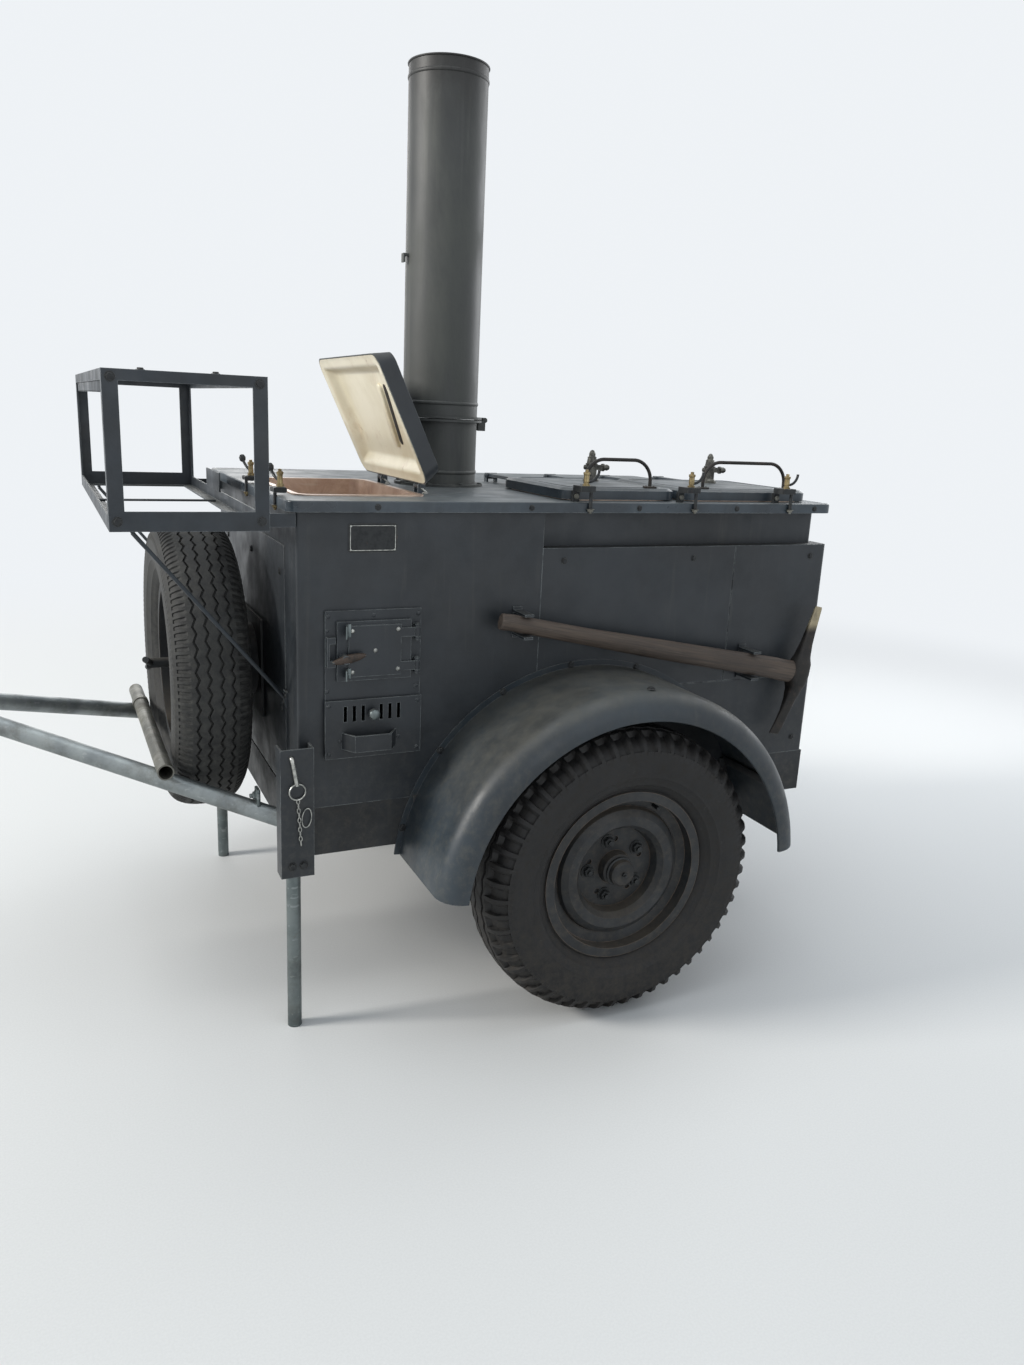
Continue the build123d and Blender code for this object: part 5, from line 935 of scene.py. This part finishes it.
doorParts = {
    "knob": (0.5855, 0.534, 0.786), "latchY": 0.534, "latchTip": (-0.001, -0.020), "latchTail": (-0.079, -0.005),
    "knobCap": ((-0.001, 0), (-0.001, 0.0128), (0.002, 0.0126), (0.0045, 0.0105), (0.006, 0.007), (0.0066, 0)),
    "latch": ((0.0, 4, 5), (0.05, 9, 9), (0.2, 16, 13), (0.5, 21, 15.5), (0.8, 16, 13), (0.95, 9, 9), (1.0, 4, 5)),
    "strap": ((0.640, 0.5205), (0.6455, 0.5205), (0.650, 0.5235), (0.653, 0.531), (0.657, 0.545)),
    "strapZ": ((0.972, 1.002), (0.874, 0.898)), "strapSheet": 0.003,
    "rearY": (0.044, 0.2, 0.356), "rearZ": (0.633, 0.753, 0.920), "frameSheet": 0.006, "doorProud": 0.013,
    "doorY": (0.099, 0.29), "doorInset": 0.03, "rearRivet": (0.0055, 0.003), "rearDoorRivet": (0.005, 0.003),
}
knobCap = turned(fromAxle(*doorParts["knob"]), (0, 1, 0), doorParts["knobCap"], 28)
addPiece("slideKnobCap", knobCap, "legZinc", "ash_drawer_body", 40)
hingeSide, doorMiddle = corners("fire_door")[1][0], middleOf("fire_door")[2]
latchTip, latchTail = (
    np.array([hingeSide + x, doorParts["latchY"], doorMiddle + z])
    for x, z in (doorParts["latchTip"], doorParts["latchTail"])
)
latchUp = np.cross((0, 1, 0), unit(latchTail - latchTip))
grip = ovalAlong(latchTip, latchTail, latchUp, doorParts["latch"], power=2.8, sides=24, bend=0)
addPiece("latchGrip", grip, "rustyIron", "fire_door_body", 50)
straps = []
for low, high in doorParts["strapZ"]:
    bent = smoothPath([fromAxle(x, y, (low + high) / 2) for x, y in doorParts["strap"]], 14)
    straps.append(carried(bent, softOutline(doorParts["strapSheet"], high - low, 0.001, 2)))
addPiece("fireDoorStraps", straps, "legZinc", "fire_door_body")

face = rearWall - doorParts["frameSheet"]
places = [(face, y, z) for y in doorParts["rearY"] for z in doorParts["rearZ"]]
shape = rivets(places, (-1, 0, 0), *doorParts["rearRivet"])
addPiece("rearFrameRivets", shape, "bodyPaint", sharp=50)
for name, door in (("rearFireDoorRivets", "rear_fire_door"), ("rearAshDoorRivets", "rear_ash_door")):
    low, high = corners(door)
    ends = (low[2] + doorParts["doorInset"], high[2] - doorParts["doorInset"])
    places = [(face - doorParts["doorProud"], y, z) for y in doorParts["doorY"] for z in ends]
    shape = rivets(places, (-1, 0, 0), *doorParts["rearDoorRivet"])
    addPiece(name, shape, "bodyPaint", door + "_body", 50)
print("door parts made")

# Front stand: an L-shaped pin in the channel, its ring, chain and spring clip, and two bolts

standParts = {
    "face": 0.545, "bolts": ((0.785, 0.434), (0.758, 0.434)), "bolt": (0.016, 0.007), "pinRadius": 0.005,
    "pin": ((0.786, 0.541, 0.703), (0.785, 0.5525, 0.700), (0.781, 0.5525, 0.680), (0.774, 0.5525, 0.637)),
    "ring": (0.773, 0.5515, 0.621), "ringRadius": 0.019, "ringLean": 0.002, "ringWire": 0.0019,
    "chain": ((0.772, 0.5505, 0.603), (0.769, 0.5505, 0.55), (0.765, 0.5505, 0.477)),
    "link": (0.015, 0.0095, 0.0014),  # length, width and wire
    "clip": (0.7515, 0.5495, 0.554), "clipHalf": (0.0105, 0.023), "clipLean": 0.004, "clipWire": 0.0015,
}


def chainAlong(path, length, width, radius):
    # links lie in turn flat and on edge, each an ellipse along the chain's way
    way = np.diff(path, axis=0)
    reach = np.concatenate([[0], np.cumsum(np.linalg.norm(way, axis=1))])
    pitch = length - 2.4 * radius
    links = []
    for index in range(int(reach[-1] / pitch)):
        at = (index + 0.5) * pitch
        centre = np.array([np.interp(at, reach, path[:, k]) for k in range(3)])
        along = unit(way[min(int(np.searchsorted(reach, at)) - 1, len(way) - 1)])
        side = unit(np.cross((0, 1, 0), along)) if index % 2 == 0 else np.array([0, 1.0, 0])
        links.append(loop(centre, along * (length / 2 - radius), side * (width / 2 - radius), radius, 14))
    return joined(links)


start, (halfX, halfZ), lean = fromAxle(0, 0, 0), standParts["clipHalf"], standParts["clipLean"]
ringAcross, ringRise = (standParts["ringRadius"], standParts["ringLean"], 0), (0, 0, standParts["ringRadius"])
pinAndChain = joined([
    carried(smoothPath(standParts["pin"] + start, 18), roundOutline(standParts["pinRadius"], 12), up=(1, 0.2, 0)),
    loop(fromAxle(*standParts["ring"]), ringAcross, ringRise, standParts["ringWire"]),
    chainAlong(smoothPath(standParts["chain"] + start, 12), *standParts["link"]),
    loop(fromAxle(*standParts["clip"]), (halfX, 0, lean), (-lean, 0, halfZ), standParts["clipWire"]),
])
for sign, side in bothSides:
    shape = (pinAndChain[0] * (1, sign, 1), pinAndChain[1])  # on the right Y changes its sign
    addPiece("standPinAndChain" + side, shape, "brightSteel", sharp=40)
    places = [fromAxle(x, sign * standParts["face"], z) for x, z in standParts["bolts"]]
    addFasteners("standBolts" + side, heads(places, (0, sign, 0), *standParts["bolt"]))
print("stand parts made")

# Drawbar: a lug with a bolt on each tube near its foot, four bolts in each foot plate, and a ring on the pole

drawbarParts = {
    "foot": (0.76, 0.452, 0.505), "apex": (1.545, 0.022, 0.75), "lugShare": 0.098, "lugHalf": (0.004, 0.017),
    "lugZ": (0.016, 0.058), "lugEdge": 0.0015, "lugBoltDrop": 0.018, "lugNut": (0.020, 0.008, 0.006), "footFace": 0.768,
    "footBolts": (0.031, 0.036), "footBolt": (0.019, 0.008), "ring": (1.93, 0, 0.75),
    "ringShape": ((0, 0.034), (0.001, 0.0385), (0.016, 0.0385), (0.017, 0.034), (0.0085, 0.033), (0, 0.034)),
}
foot, apex = (fromAxle(*drawbarParts[key]) for key in ("foot", "apex"))
sheet, half = drawbarParts["lugHalf"]
low, high = drawbarParts["lugZ"]
boltY, boltZ = drawbarParts["footBolts"]
for sign, side in bothSides:
    lugAt = (foot + (apex - foot) * drawbarParts["lugShare"]) * (1, sign, 1)
    lug = slab(lugAt + (-sheet, -half, low), lugAt + (sheet, half, high), drawbarParts["lugEdge"])
    lugBolt = nuts([lugAt + (sheet, 0, high - drawbarParts["lugBoltDrop"])], (1, 0, 0), *drawbarParts["lugNut"])
    addPiece("drawbarLug" + side, [lug, lugBolt], "legZinc", sharp=28)
    footX, footY, footZ = fromAxle(drawbarParts["footFace"], sign * foot[1], foot[2])
    places = [(footX, footY + sign * i * boltY, footZ + k * boltZ) for i in (-1, 1) for k in (-1, 1)]
    addFasteners("drawbarFootBolts" + side, heads(places, (1, 0, 0), *drawbarParts["footBolt"]))
ring = turned(fromAxle(*drawbarParts["ring"]), (1, 0, 0), drawbarParts["ringShape"], 40)
addPiece("poleRing", ring, "framePaint")
print("drawbar parts made")

# Springs: nuts on the U-bolts' legs

springParts = {"boltX": (-0.034, 0.034), "boltY": (0.508, 0.560), "plateZ": 0.345, "nut": (0.019, 0.010)}
for sign, side in bothSides:
    places = [
        fromAxle(x, sign * y, springParts["plateZ"]) for x in springParts["boltX"] for y in springParts["boltY"]
    ]
    addFasteners("springNuts" + side, heads(places, (0, 0, -1), *springParts["nut"]))
print("spring parts made")

# Pan lid: a pressed liner in the lid's own plane, with a long boss and beside it a dark capsule that is painted shadow
# of the boss

lidPlane = {
    "hinge": (0.404, 0.150, 1.298), "angle": 65, "start": 0.014, "length": 0.324, "rim": -0.011, "floor": 0.012,
    "linerSize": (0.317, 0.521), "corner": 0.034, "leastCorner": 0.008, "sheet": 0.0016, "step": (0.020, 0.030),
    "ridge": (0.0012, 0.015, 0.003), "edgeDip": (0.0008, 0.003), "footGap": 0.001, "doming": 0.28,
    "insets": (0.140, 0.110, 0.080, 0.060, 0.053, 0.048, 0.043, 0.038, 0.033, 0.028, 0.023, 0.019, 0.012, 0.004,
               0.001, 0.0),
    # the second piece is a flat dark capsule near the liner's floor: painted shadow of the boss
    # pieces in the liner as start, end, width and rise
    "boss": ((0.108, 0.078), (0.245, 0.120), 0.030, -0.008), "bossShadow": ((0.112, 0.112), (0.245, 0.154), 0.024, -0.002),
}
lidTilt = radians(lidPlane["angle"])
lidDirections = np.array([(cos(lidTilt), 0, sin(lidTilt)), (0, 1, 0), (-sin(lidTilt), 0, cos(lidTilt))])
lidOrigin = fromAxle(*lidPlane["hinge"])


def onLid(along, across, out):
    # points in the lid's plane: from the hinge along the lid, to the left, and outwards
    return lidOrigin + np.stack(np.broadcast_arrays(along, across, out), axis=-1) @ lidDirections


def linerShape(settings):
    # rings of a rounded rectangle set in by d; height = rim + (floor - rim) * (3 s^2 - 2 s^3), s = (d - from) / width,
    # and a ridge of rise * exp(-((d - at) / half)^2) beside the rim; then back at a sheet's distance
    inset = np.array(settings["insets"])
    stepFrom, stepWidth = settings["step"]
    ridgeRise, ridgeAt, ridgeHalf = settings["ridge"]
    dip, dipTo = settings["edgeDip"]
    share = np.clip((inset - stepFrom) / stepWidth, 0, 1)
    height = settings["rim"] + (settings["floor"] - settings["rim"]) * share**2 * (3 - 2 * share)
    height = height + ridgeRise * np.exp(-(((inset - ridgeAt) / ridgeHalf) ** 2)) - dip * (inset < dipTo)
    height = np.concatenate([height, height[::-1] + settings["sheet"]])
    width, depth = settings["linerSize"]
    rings = np.array([
        softOutline(width - 2 * d, depth - 2 * d, max(settings["corner"] - d, settings["leastCorner"]), 6)
        for d in np.concatenate([inset, inset[::-1]])
    ])
    middle = settings["start"] + settings["length"] / 2
    return netShape(onLid(middle + rings[..., 0], rings[..., 1], height[:, None]), closeColumns=True, caps=True)


def capsuleOnLid(start, end, width, rise):
    # a bar with round ends between two points of the lid, domed: inset follows a quarter circle over its height
    start, end, low = np.array(start), np.array(end), lidPlane["floor"] + lidPlane["footGap"]
    way = unit(end - start)
    side = np.array([-way[1], way[0]])
    cap = arc((0, 0), way, side, np.linspace(-pi / 2, pi / 2, 10))
    turns = np.linspace(0, 1, 5) * pi / 2
    rings = []
    for share, scale in [(0.0, 1.0)] + [(np.sin(t), 1 - lidPlane["doming"] * (1 - np.cos(t))) for t in turns]:
        ring = np.vstack([end + cap * width / 2 * scale, start - cap * width / 2 * scale])
        rings.append(onLid(ring[:, 0], ring[:, 1], low + rise * share))
    return netShape(np.array(rings), closeColumns=True, caps=True)


liner = linerShape(lidPlane)
addPiece("panLidLiner", liner, "creamEnamel", "pan_cover", 45, replaces=("pan_lid_liner",))
addPiece("linerBoss", capsuleOnLid(*lidPlane["boss"]), "creamEnamel", "pan_cover", 45)
# dark sooty capsule beside the boss: painted shadow, not a real recess
addPiece("linerBossShadow", capsuleOnLid(*lidPlane["bossShadow"]), "sootyIron", "pan_cover", 45)
print("pan lid liner made")

# Pan lid hinges: the bent feet of two wire legs at each hinge, with their bolts on the top plate

hingeParts = {
    "y": {"Right": 0.0, "Left": 0.30}, "spread": 0.017, "legRadius": 0.0035, "bolt": (0.012, 0.004),
    "leg": ((0.392, 1.0, 1.2825), (0.400, 1.0, 1.2885), (0.408, 0.92, 1.2965)),  # x, share of the spread and z
    "boltAt": (0.394, 1.281),
}
for side, y in hingeParts["y"].items():
    legs = []
    for offset in (-hingeParts["spread"], hingeParts["spread"]):
        bent = [fromAxle(x, y + offset * share, z) for x, share, z in hingeParts["leg"]]
        legs.append(wire(bent, hingeParts["legRadius"], 12, up=(0, 1, 0)))
        boltX, boltZ = hingeParts["boltAt"]
        legs.append(heads([fromAxle(boltX, y + offset, boltZ)], zUp, *hingeParts["bolt"]))
    addPiece("panHingeFeet" + side, legs, "brightSteel")
print("pan hinge feet made")

# Pan clamps on the front edge of the top plate, and clamp details along its left edge; profiles are (along, radius)

clampParts = {
    "panY": (0.06, 0.40), "panX": 0.779, "jawOutline": (0.030, 0.012, 0.004, 3),
    # places in a pan clamp are along the edge, outwards and up
    "jaw": ((-0.020, -0.004, 0.013), (0.0, -0.004, 0.0135), (0.020, -0.004, 0.013)),
    "lever": ((-0.002, -0.008, 0.030), (-0.014, -0.006, 0.034), (-0.028, -0.002, 0.040), (-0.040, 0.004, 0.054)),
    "leverRadius": 0.0035, "knobAt": (-0.041, 0.0045, 0.055),
    "knob": ((-0.004, 0), (-0.004, 0.004), (0.0, 0.0075), (0.007, 0.0085), (0.013, 0.006), (0.015, 0)),
    "knobWay": (0, -0.6, 0.8),
    "boltAt": (0.010, 0.006, -0.020), "bolt": ((0, 0), (0, 0.004), (0.036, 0.004), (0.036, 0)),
    "sleeveAt": (-0.001, -0.008, 0.019),
    "sleeve": ((0, 0), (0, 0.0085), (0.006, 0.0085), (0.007, 0.0062), (0.026, 0.0062), (0.027, 0.0078),
               (0.033, 0.0078), (0.035, 0.004), (0.039, 0.004), (0.040, 0)),
    "footAt": (0.010, 0.006, -0.021), "foot": (0.012, 0.006, 0.004),
    "lidX": (-0.558, -0.251, 0.056), "lidSleeveAt": (-0.004, 0.519, 1.3175),
    "lidSleeve": ((0, 0.0062), (0, 0.0095), (0.006, 0.0095), (0.007, 0.0066), (0.011, 0.0066), (0.012, 0.0074),
                  (0.0275, 0.0070), (0.0295, 0.0086), (0.0345, 0.0086), (0.0355, 0.0045), (0.0405, 0.0045),
                  (0.0415, 0)),
    "lidNutAt": (-0.012, 0.533, 1.265), "lidNut": (0.015, 0.007, 0.003), "pinAt": (0.0145, 0.4965, 1.293),
    "pin": ((0, 0), (0, 0.0065), (0.003, 0.0062), (0.0095, 0.0062), (0.0125, 0.0065), (0.0135, 0.003), (0.0135, 0)),
}


def clampShapes(origin, settings):
    # one hook clamp: dark jaw, lever with its knob and swing bolt, and apart from them the sleeve and foot nut
    directions = np.array([(0, 1, 0), (1, 0, 0), zUp])  # along the edge, outwards and up

    def at(key):
        return origin + np.array(settings[key]) @ directions

    dark = [
        carried(at("jaw"), softOutline(*settings["jawOutline"])),
        wire(at("lever"), settings["leverRadius"], 18, up=(1, 0, 0)),
        turned(at("knobAt"), settings["knobWay"], settings["knob"], 16),
        turned(at("boltAt"), zUp, settings["bolt"], 14),
    ]
    bright = [
        turned(at("sleeveAt"), zUp, settings["sleeve"], 18), nuts([at("footAt")], (0, 0, -1), *settings["foot"]),
    ]
    return dark, bright


dark, bright, sleeves, lugNuts = [], [], [], []
for y in clampParts["panY"]:
    darkShapes, brightShapes = clampShapes(fromAxle(clampParts["panX"], y, topSurface), clampParts)
    dark += darkShapes
    bright += brightShapes
for x in clampParts["lidX"]:
    sleeveAt, nutAt, pinAt = (fromAxle(*clampParts[key]) + (x, 0, 0) for key in ("lidSleeveAt", "lidNutAt", "pinAt"))
    sleeves.append(turned(sleeveAt, zUp, clampParts["lidSleeve"], 20))
    lugNuts += [nuts([nutAt], (0, 0, -1), *clampParts["lidNut"]), turned(pinAt, (0, 1, 0), clampParts["pin"], 16)]
addPiece("panClamps", dark, "blackenedSteel")
addPiece("panClampSleeves", bright, "dullBrass")
addPiece("lidClampSleeves", sleeves, "dullBrass")
addPiece("lidClampNuts", lugNuts, "darkZinc", sharp=30)
print("clamps made")

# Kettle lids: a pressed rib round the top, bolts at the bow's feet, and a rim on each valve

lidParts = {
    "places": (("front", -0.076, 0.1655), ("rear", -0.470, 0.204)),  # with the middle's x and half the length
    "middleY": 0.290, "halfY": 0.190, "top": 1.311, "ribInset": 0.030, "ribCorner": 0.022, "ribRadius": 0.003,
    "bowY": 0.454, "bowEnd": 0.070, "bowHalf": 0.011, "bowFoot": 0.005, "rivet": (0.0035, 0.002),
    "valve": (-0.051, 0.220),
    # turned pieces of the valve: from its foot, axis, profile and sides
    "valveShapes": (
        ((0, 0, 0), zUp, ((0, 0), (0, 0.0225), (0.004, 0.0225), (0.0055, 0.0185), (0.009, 0.0175), (0.0095, 0)), 30),
        ((0, 0, 0.043), zUp, ((0, 0), (0, 0.0165), (0.004, 0.017), (0.005, 0.0135), (0.0055, 0)), 30),
        ((0, 0, 0.062), zUp, ((0, 0), (0, 0.0125), (0.003, 0.0125), (0.004, 0)), 24),
        ((-0.036, 0, 0.037), (-1, 0, 0), ((-0.004, 0), (-0.003, 0.0105), (0.002, 0.0105), (0.003, 0.007),
                                          (0.006, 0.0075), (0.012, 0.0085), (0.018, 0.006), (0.020, 0)), 24),
        ((0.012, 0, 0.037), (1, 0, 0), ((0, 0), (0, 0.007), (0.010, 0.0065), (0.012, 0.003), (0.0125, 0)), 20),
    ),
}
lidTop, inset, footZ = lidParts["top"], lidParts["ribInset"], lidParts["top"] + lidParts["bowFoot"]
for place, centreX, half in lidParts["places"]:
    body, side = "kettle_cover_" + place, place.capitalize()
    outline = softOutline(2 * (half - inset), 2 * (lidParts["halfY"] - inset), lidParts["ribCorner"], 6)
    rib = np.pad(outline, ((0, 0), (0, 1))) + fromAxle(centreX, lidParts["middleY"], lidTop)
    rib = carried(rib, roundOutline(lidParts["ribRadius"], 10, 0.6), closed=True)
    addPiece("lidRib" + side, rib, "topPaint", body, 50)
    feet = [
        fromAxle(centreX + sign * (half - lidParts["bowEnd"]) + k * lidParts["bowHalf"], lidParts["bowY"], footZ)
        for sign in (-1, 1) for k in (-1, 1)
    ]
    addPiece("bowRivets" + side, rivets(feet, zUp, *lidParts["rivet"]), "blackenedSteel", body, 50)
    base = fromAxle(centreX + lidParts["valve"][0], lidParts["valve"][1], lidTop)
    trim = [turned(base + at, axis, profile, sides) for at, axis, profile, sides in lidParts["valveShapes"]]
    addPiece("valveTrim" + side, trim, "castMetal", body)
print("kettle lid parts made")

# Chimney: rolled mouth, lock seam on the rear and beads above and below the joint

chimney = {
    "x": 0.240, "radius": 0.1025, "mouth": 2.3275, "mouthWire": 0.0025, "mouthOut": 0.0005, "seam": (1.474, 2.318),
    "seamHalf": 0.007,
    "seamAngle": 205, "seamRise": (0, 0.0018, 0.0020, 0.0018, 0), "beads": (1.500, 2.296), "stubBead": 1.318,
    "beadRise": 0.0028, "beadHalf": 0.005, "beadSink": 0.0004, "seamSink": 0.0003, "inside": 0.001,
    "flange": 0.1165, "flangeTop": 0.006, "bolt": (0.012, 0.004), "boltTurn": 0.2,
}
chimneyFoot, pipeRadius = fromAxle(chimney["x"], 0, 0), chimney["radius"]


def ringBead(z, settings):
    # a swaged bead: radius + rise * a half circle over its width
    half, low, back = settings["beadHalf"], pipeRadius - settings["beadSink"], pipeRadius - settings["inside"]
    profile = [(z - half * cos(t), low + settings["beadRise"] * sin(t)) for t in np.linspace(0, pi, 9)]
    profile += [(z + half, back), (z - half, back), profile[0]]
    return turned(chimneyFoot, zUp, profile, 72)


def seamShape(settings):
    # a folded seam: an outline over a few degrees of the pipe, out by its rise and back at the sheet, carried up
    angle = np.linspace(-settings["seamHalf"], settings["seamHalf"], 5) / pipeRadius + radians(settings["seamAngle"])
    out = pipeRadius - settings["seamSink"] + np.array(settings["seamRise"])
    reach = np.concatenate([out, np.full(5, pipeRadius - settings["inside"])])[:, None]
    outline = arc((0, 0, 0), (1, 0, 0), (0, 1, 0), np.concatenate([angle, angle[::-1]])) * reach
    levels = np.linspace(*settings["seam"], 20)[:, None, None] * zUp
    return netShape(chimneyFoot + outline + levels, closeColumns=True, caps=True)


bend, rim = chimney["mouthWire"], pipeRadius + chimney["mouthOut"]
mouth = [(chimney["mouth"] + bend * sin(t), rim + bend * cos(t)) for t in np.linspace(0, 2 * pi, 13)]
pipeShapes = [ringBead(z, chimney) for z in chimney["beads"]]
pipeShapes += [turned(chimneyFoot, zUp, mouth, 72), seamShape(chimney)]
addPiece("chimneySeams", pipeShapes, "stovePipePaint", "chimney", 40)
flangeTop, reach = chimneyFoot + (0, 0, topSurface + chimney["flangeTop"]), chimney["flange"]
eighths = radians(45) * np.arange(8)
places = arc(flangeTop, (reach, 0, 0), (0, reach, 0), eighths + chimney["boltTurn"])
stubShapes = [ringBead(chimney["stubBead"], chimney), heads(places, zUp, *chimney["bolt"], turn=0.1)]
addPiece("chimneyStubTrim", stubShapes, "stovePipePaint")
print("chimney parts made")

# Rack: a deep front band, corner and rail bolts, the floor rod, an upright plate and nuts on the diagonal rods

rackParts = {
    "bandFace": 1.141, "bandBack": 1.119, "bandHalf": 0.539, "bandZ": (1.486, 1.529), "bandSheet": 0.003,
    "floorRod": ((0.846, -0.03, 1.227), (1.13, -0.03, 1.227)), "rodRadius": 0.003,
    "upright": ((0.834, -0.235, 1.249), (0.838, -0.024, 1.298)), "half": 0.57, "cornerX": (0.846, 1.129),
    "cornerZ": (1.24, 1.516), "cornerBolt": (0.015, 0.005), "railX": (1.072, 0.93), "railY": (0.556, -0.556),
    "railZ": 1.531, "railBolt": (0.013, 0.0045), "strutFeet": ((0.385, 0.790), (0.405, 0.812)), "strutX": 0.766,
    "strutBolt": (0.011, 0.004),
}
low, high = rackParts["bandZ"]
face, half, sheet = rackParts["bandFace"], rackParts["bandHalf"], rackParts["bandSheet"]
band = [
    slab(fromAxle(face - sheet, -half, low), fromAxle(face, half, high)),
    slab(fromAxle(rackParts["bandBack"], -half, low), fromAxle(face, half, low + sheet)),
]
addPiece("rackFrontBand", band, "rackPaint", sharp=30)
start, end, low, high = (fromAxle(*point) for point in rackParts["floorRod"] + rackParts["upright"])
rod = wire(np.linspace(start, end, 4), rackParts["rodRadius"])
addPiece("rackFloorRod", [rod, slab(low, high)], "rackPaint")
rackBolts = [
    heads([fromAxle(x, sign * rackParts["half"], z)], (0, sign, 0), *rackParts["cornerBolt"])
    for x in rackParts["cornerX"] for z in rackParts["cornerZ"] for sign in (1, -1)
]
rail = [fromAxle(x, y, rackParts["railZ"]) for y in rackParts["railY"] for x in rackParts["railX"]]
rackBolts.append(heads(rail, zUp, *rackParts["railBolt"], turn=0.2))
for sign in (1, -1):
    feet = [fromAxle(rackParts["strutX"], sign * y, z) for y, z in rackParts["strutFeet"]]
    rackBolts.append(heads(feet, (1, 0, 0), *rackParts["strutBolt"], turn=0.4))
addFasteners("rackBolts", rackBolts)
print("rack parts made")

# Pickaxe: the handle is an oval carried along its line with a swelling at the eye; the head is forged over its eye

pick = {
    "y": 0.55, "front": (0.280, 0.999), "rear": (-0.675, 0.806), "eyeBack": 0.025,
    # share of the handle, height and thickness in mm
    "handle": ((0.0, 38, 24), (0.004, 41, 27), (0.08, 42, 28), (0.25, 44, 29), (0.45, 52, 31), (0.7, 57, 34),
               (0.85, 60, 36), (0.99, 63.6, 37.8), (1.0, 60, 35)),
    # way up from the eye in metres, width, thickness and how far it lies behind the eye, all in mm
    "head": ((-0.184, 31, 5, 24), (-0.18, 34, 6, 23.5), (-0.150, 33, 10, 15), (-0.115, 32, 14, 8), (-0.080, 36, 22, 3),
             (-0.050, 46, 34, 0), (-0.030, 58, 50, 0), (0.0, 66, 56, 0), (0.030, 58, 50, 0), (0.050, 46, 34, 0),
             (0.085, 36, 22, -2), (0.120, 32, 16, -4), (0.160, 28, 10, -7), (0.188, 25, 7, -9), (0.193, 22, 5, -9)),
    "eyePower": 2.2, "tipPower": 3.4, "tipFrom": 0.09,  # the eye is round and the tips are nearly square
}
pickFront, pickRear = (fromAxle(x, pick["y"], z) for x, z in (pick["front"], pick["rear"]))
pickWay = unit(pickRear - pickFront)
pickUp = np.cross((0, 1, 0), pickWay)
handle = ovalAlong(pickFront, pickRear, pickUp, pick["handle"])
addPiece("pickHandleWood", handle, "greyWood", sharp=40, replaces=("pick_handle",))
headTable = np.array(pick["head"])
headMiddle = pickRear - pickWay * pick["eyeBack"]
dense = np.linspace(0, len(headTable) - 1, 57)
rings = []
for away, wide, thick, lag in zip(*(np.interp(dense, np.arange(len(headTable)), column) for column in headTable.T)):
    a, b = oval(pick["eyePower"] + (pick["tipPower"] - pick["eyePower"]) * min(abs(away) / pick["tipFrom"], 1), 32)
    centre = headMiddle + pickUp * away - pickWay * lag / 1000
    rings.append(centre + (a * wide / 2000)[:, None] * pickWay + (b * thick / 2000)[:, None] * np.array([0, 1.0, 0]))
head = netShape(np.array(rings), closeColumns=True, caps=True)
addPiece("pickHeadForged", head, "pickIron", sharp=45, replaces=("pick_head",))
print("pickaxe made")

# Spare wheel: nuts on the carrier's flange

spareParts = {"discFront": 0.900, "boltCircle": 0.0765, "nut": (0.026, 0.012, 0.008)}
reach = spareParts["boltCircle"]
spareMiddle = fromAxle(spareParts["discFront"], 0, middleOf("spare_rim")[2])
spareNuts = nuts(arc(spareMiddle, (0, reach, 0), (0, 0, reach), fifths), (1, 0, 0), *spareParts["nut"])
addFasteners("spareStuds", spareNuts)
print("spare wheel parts made")
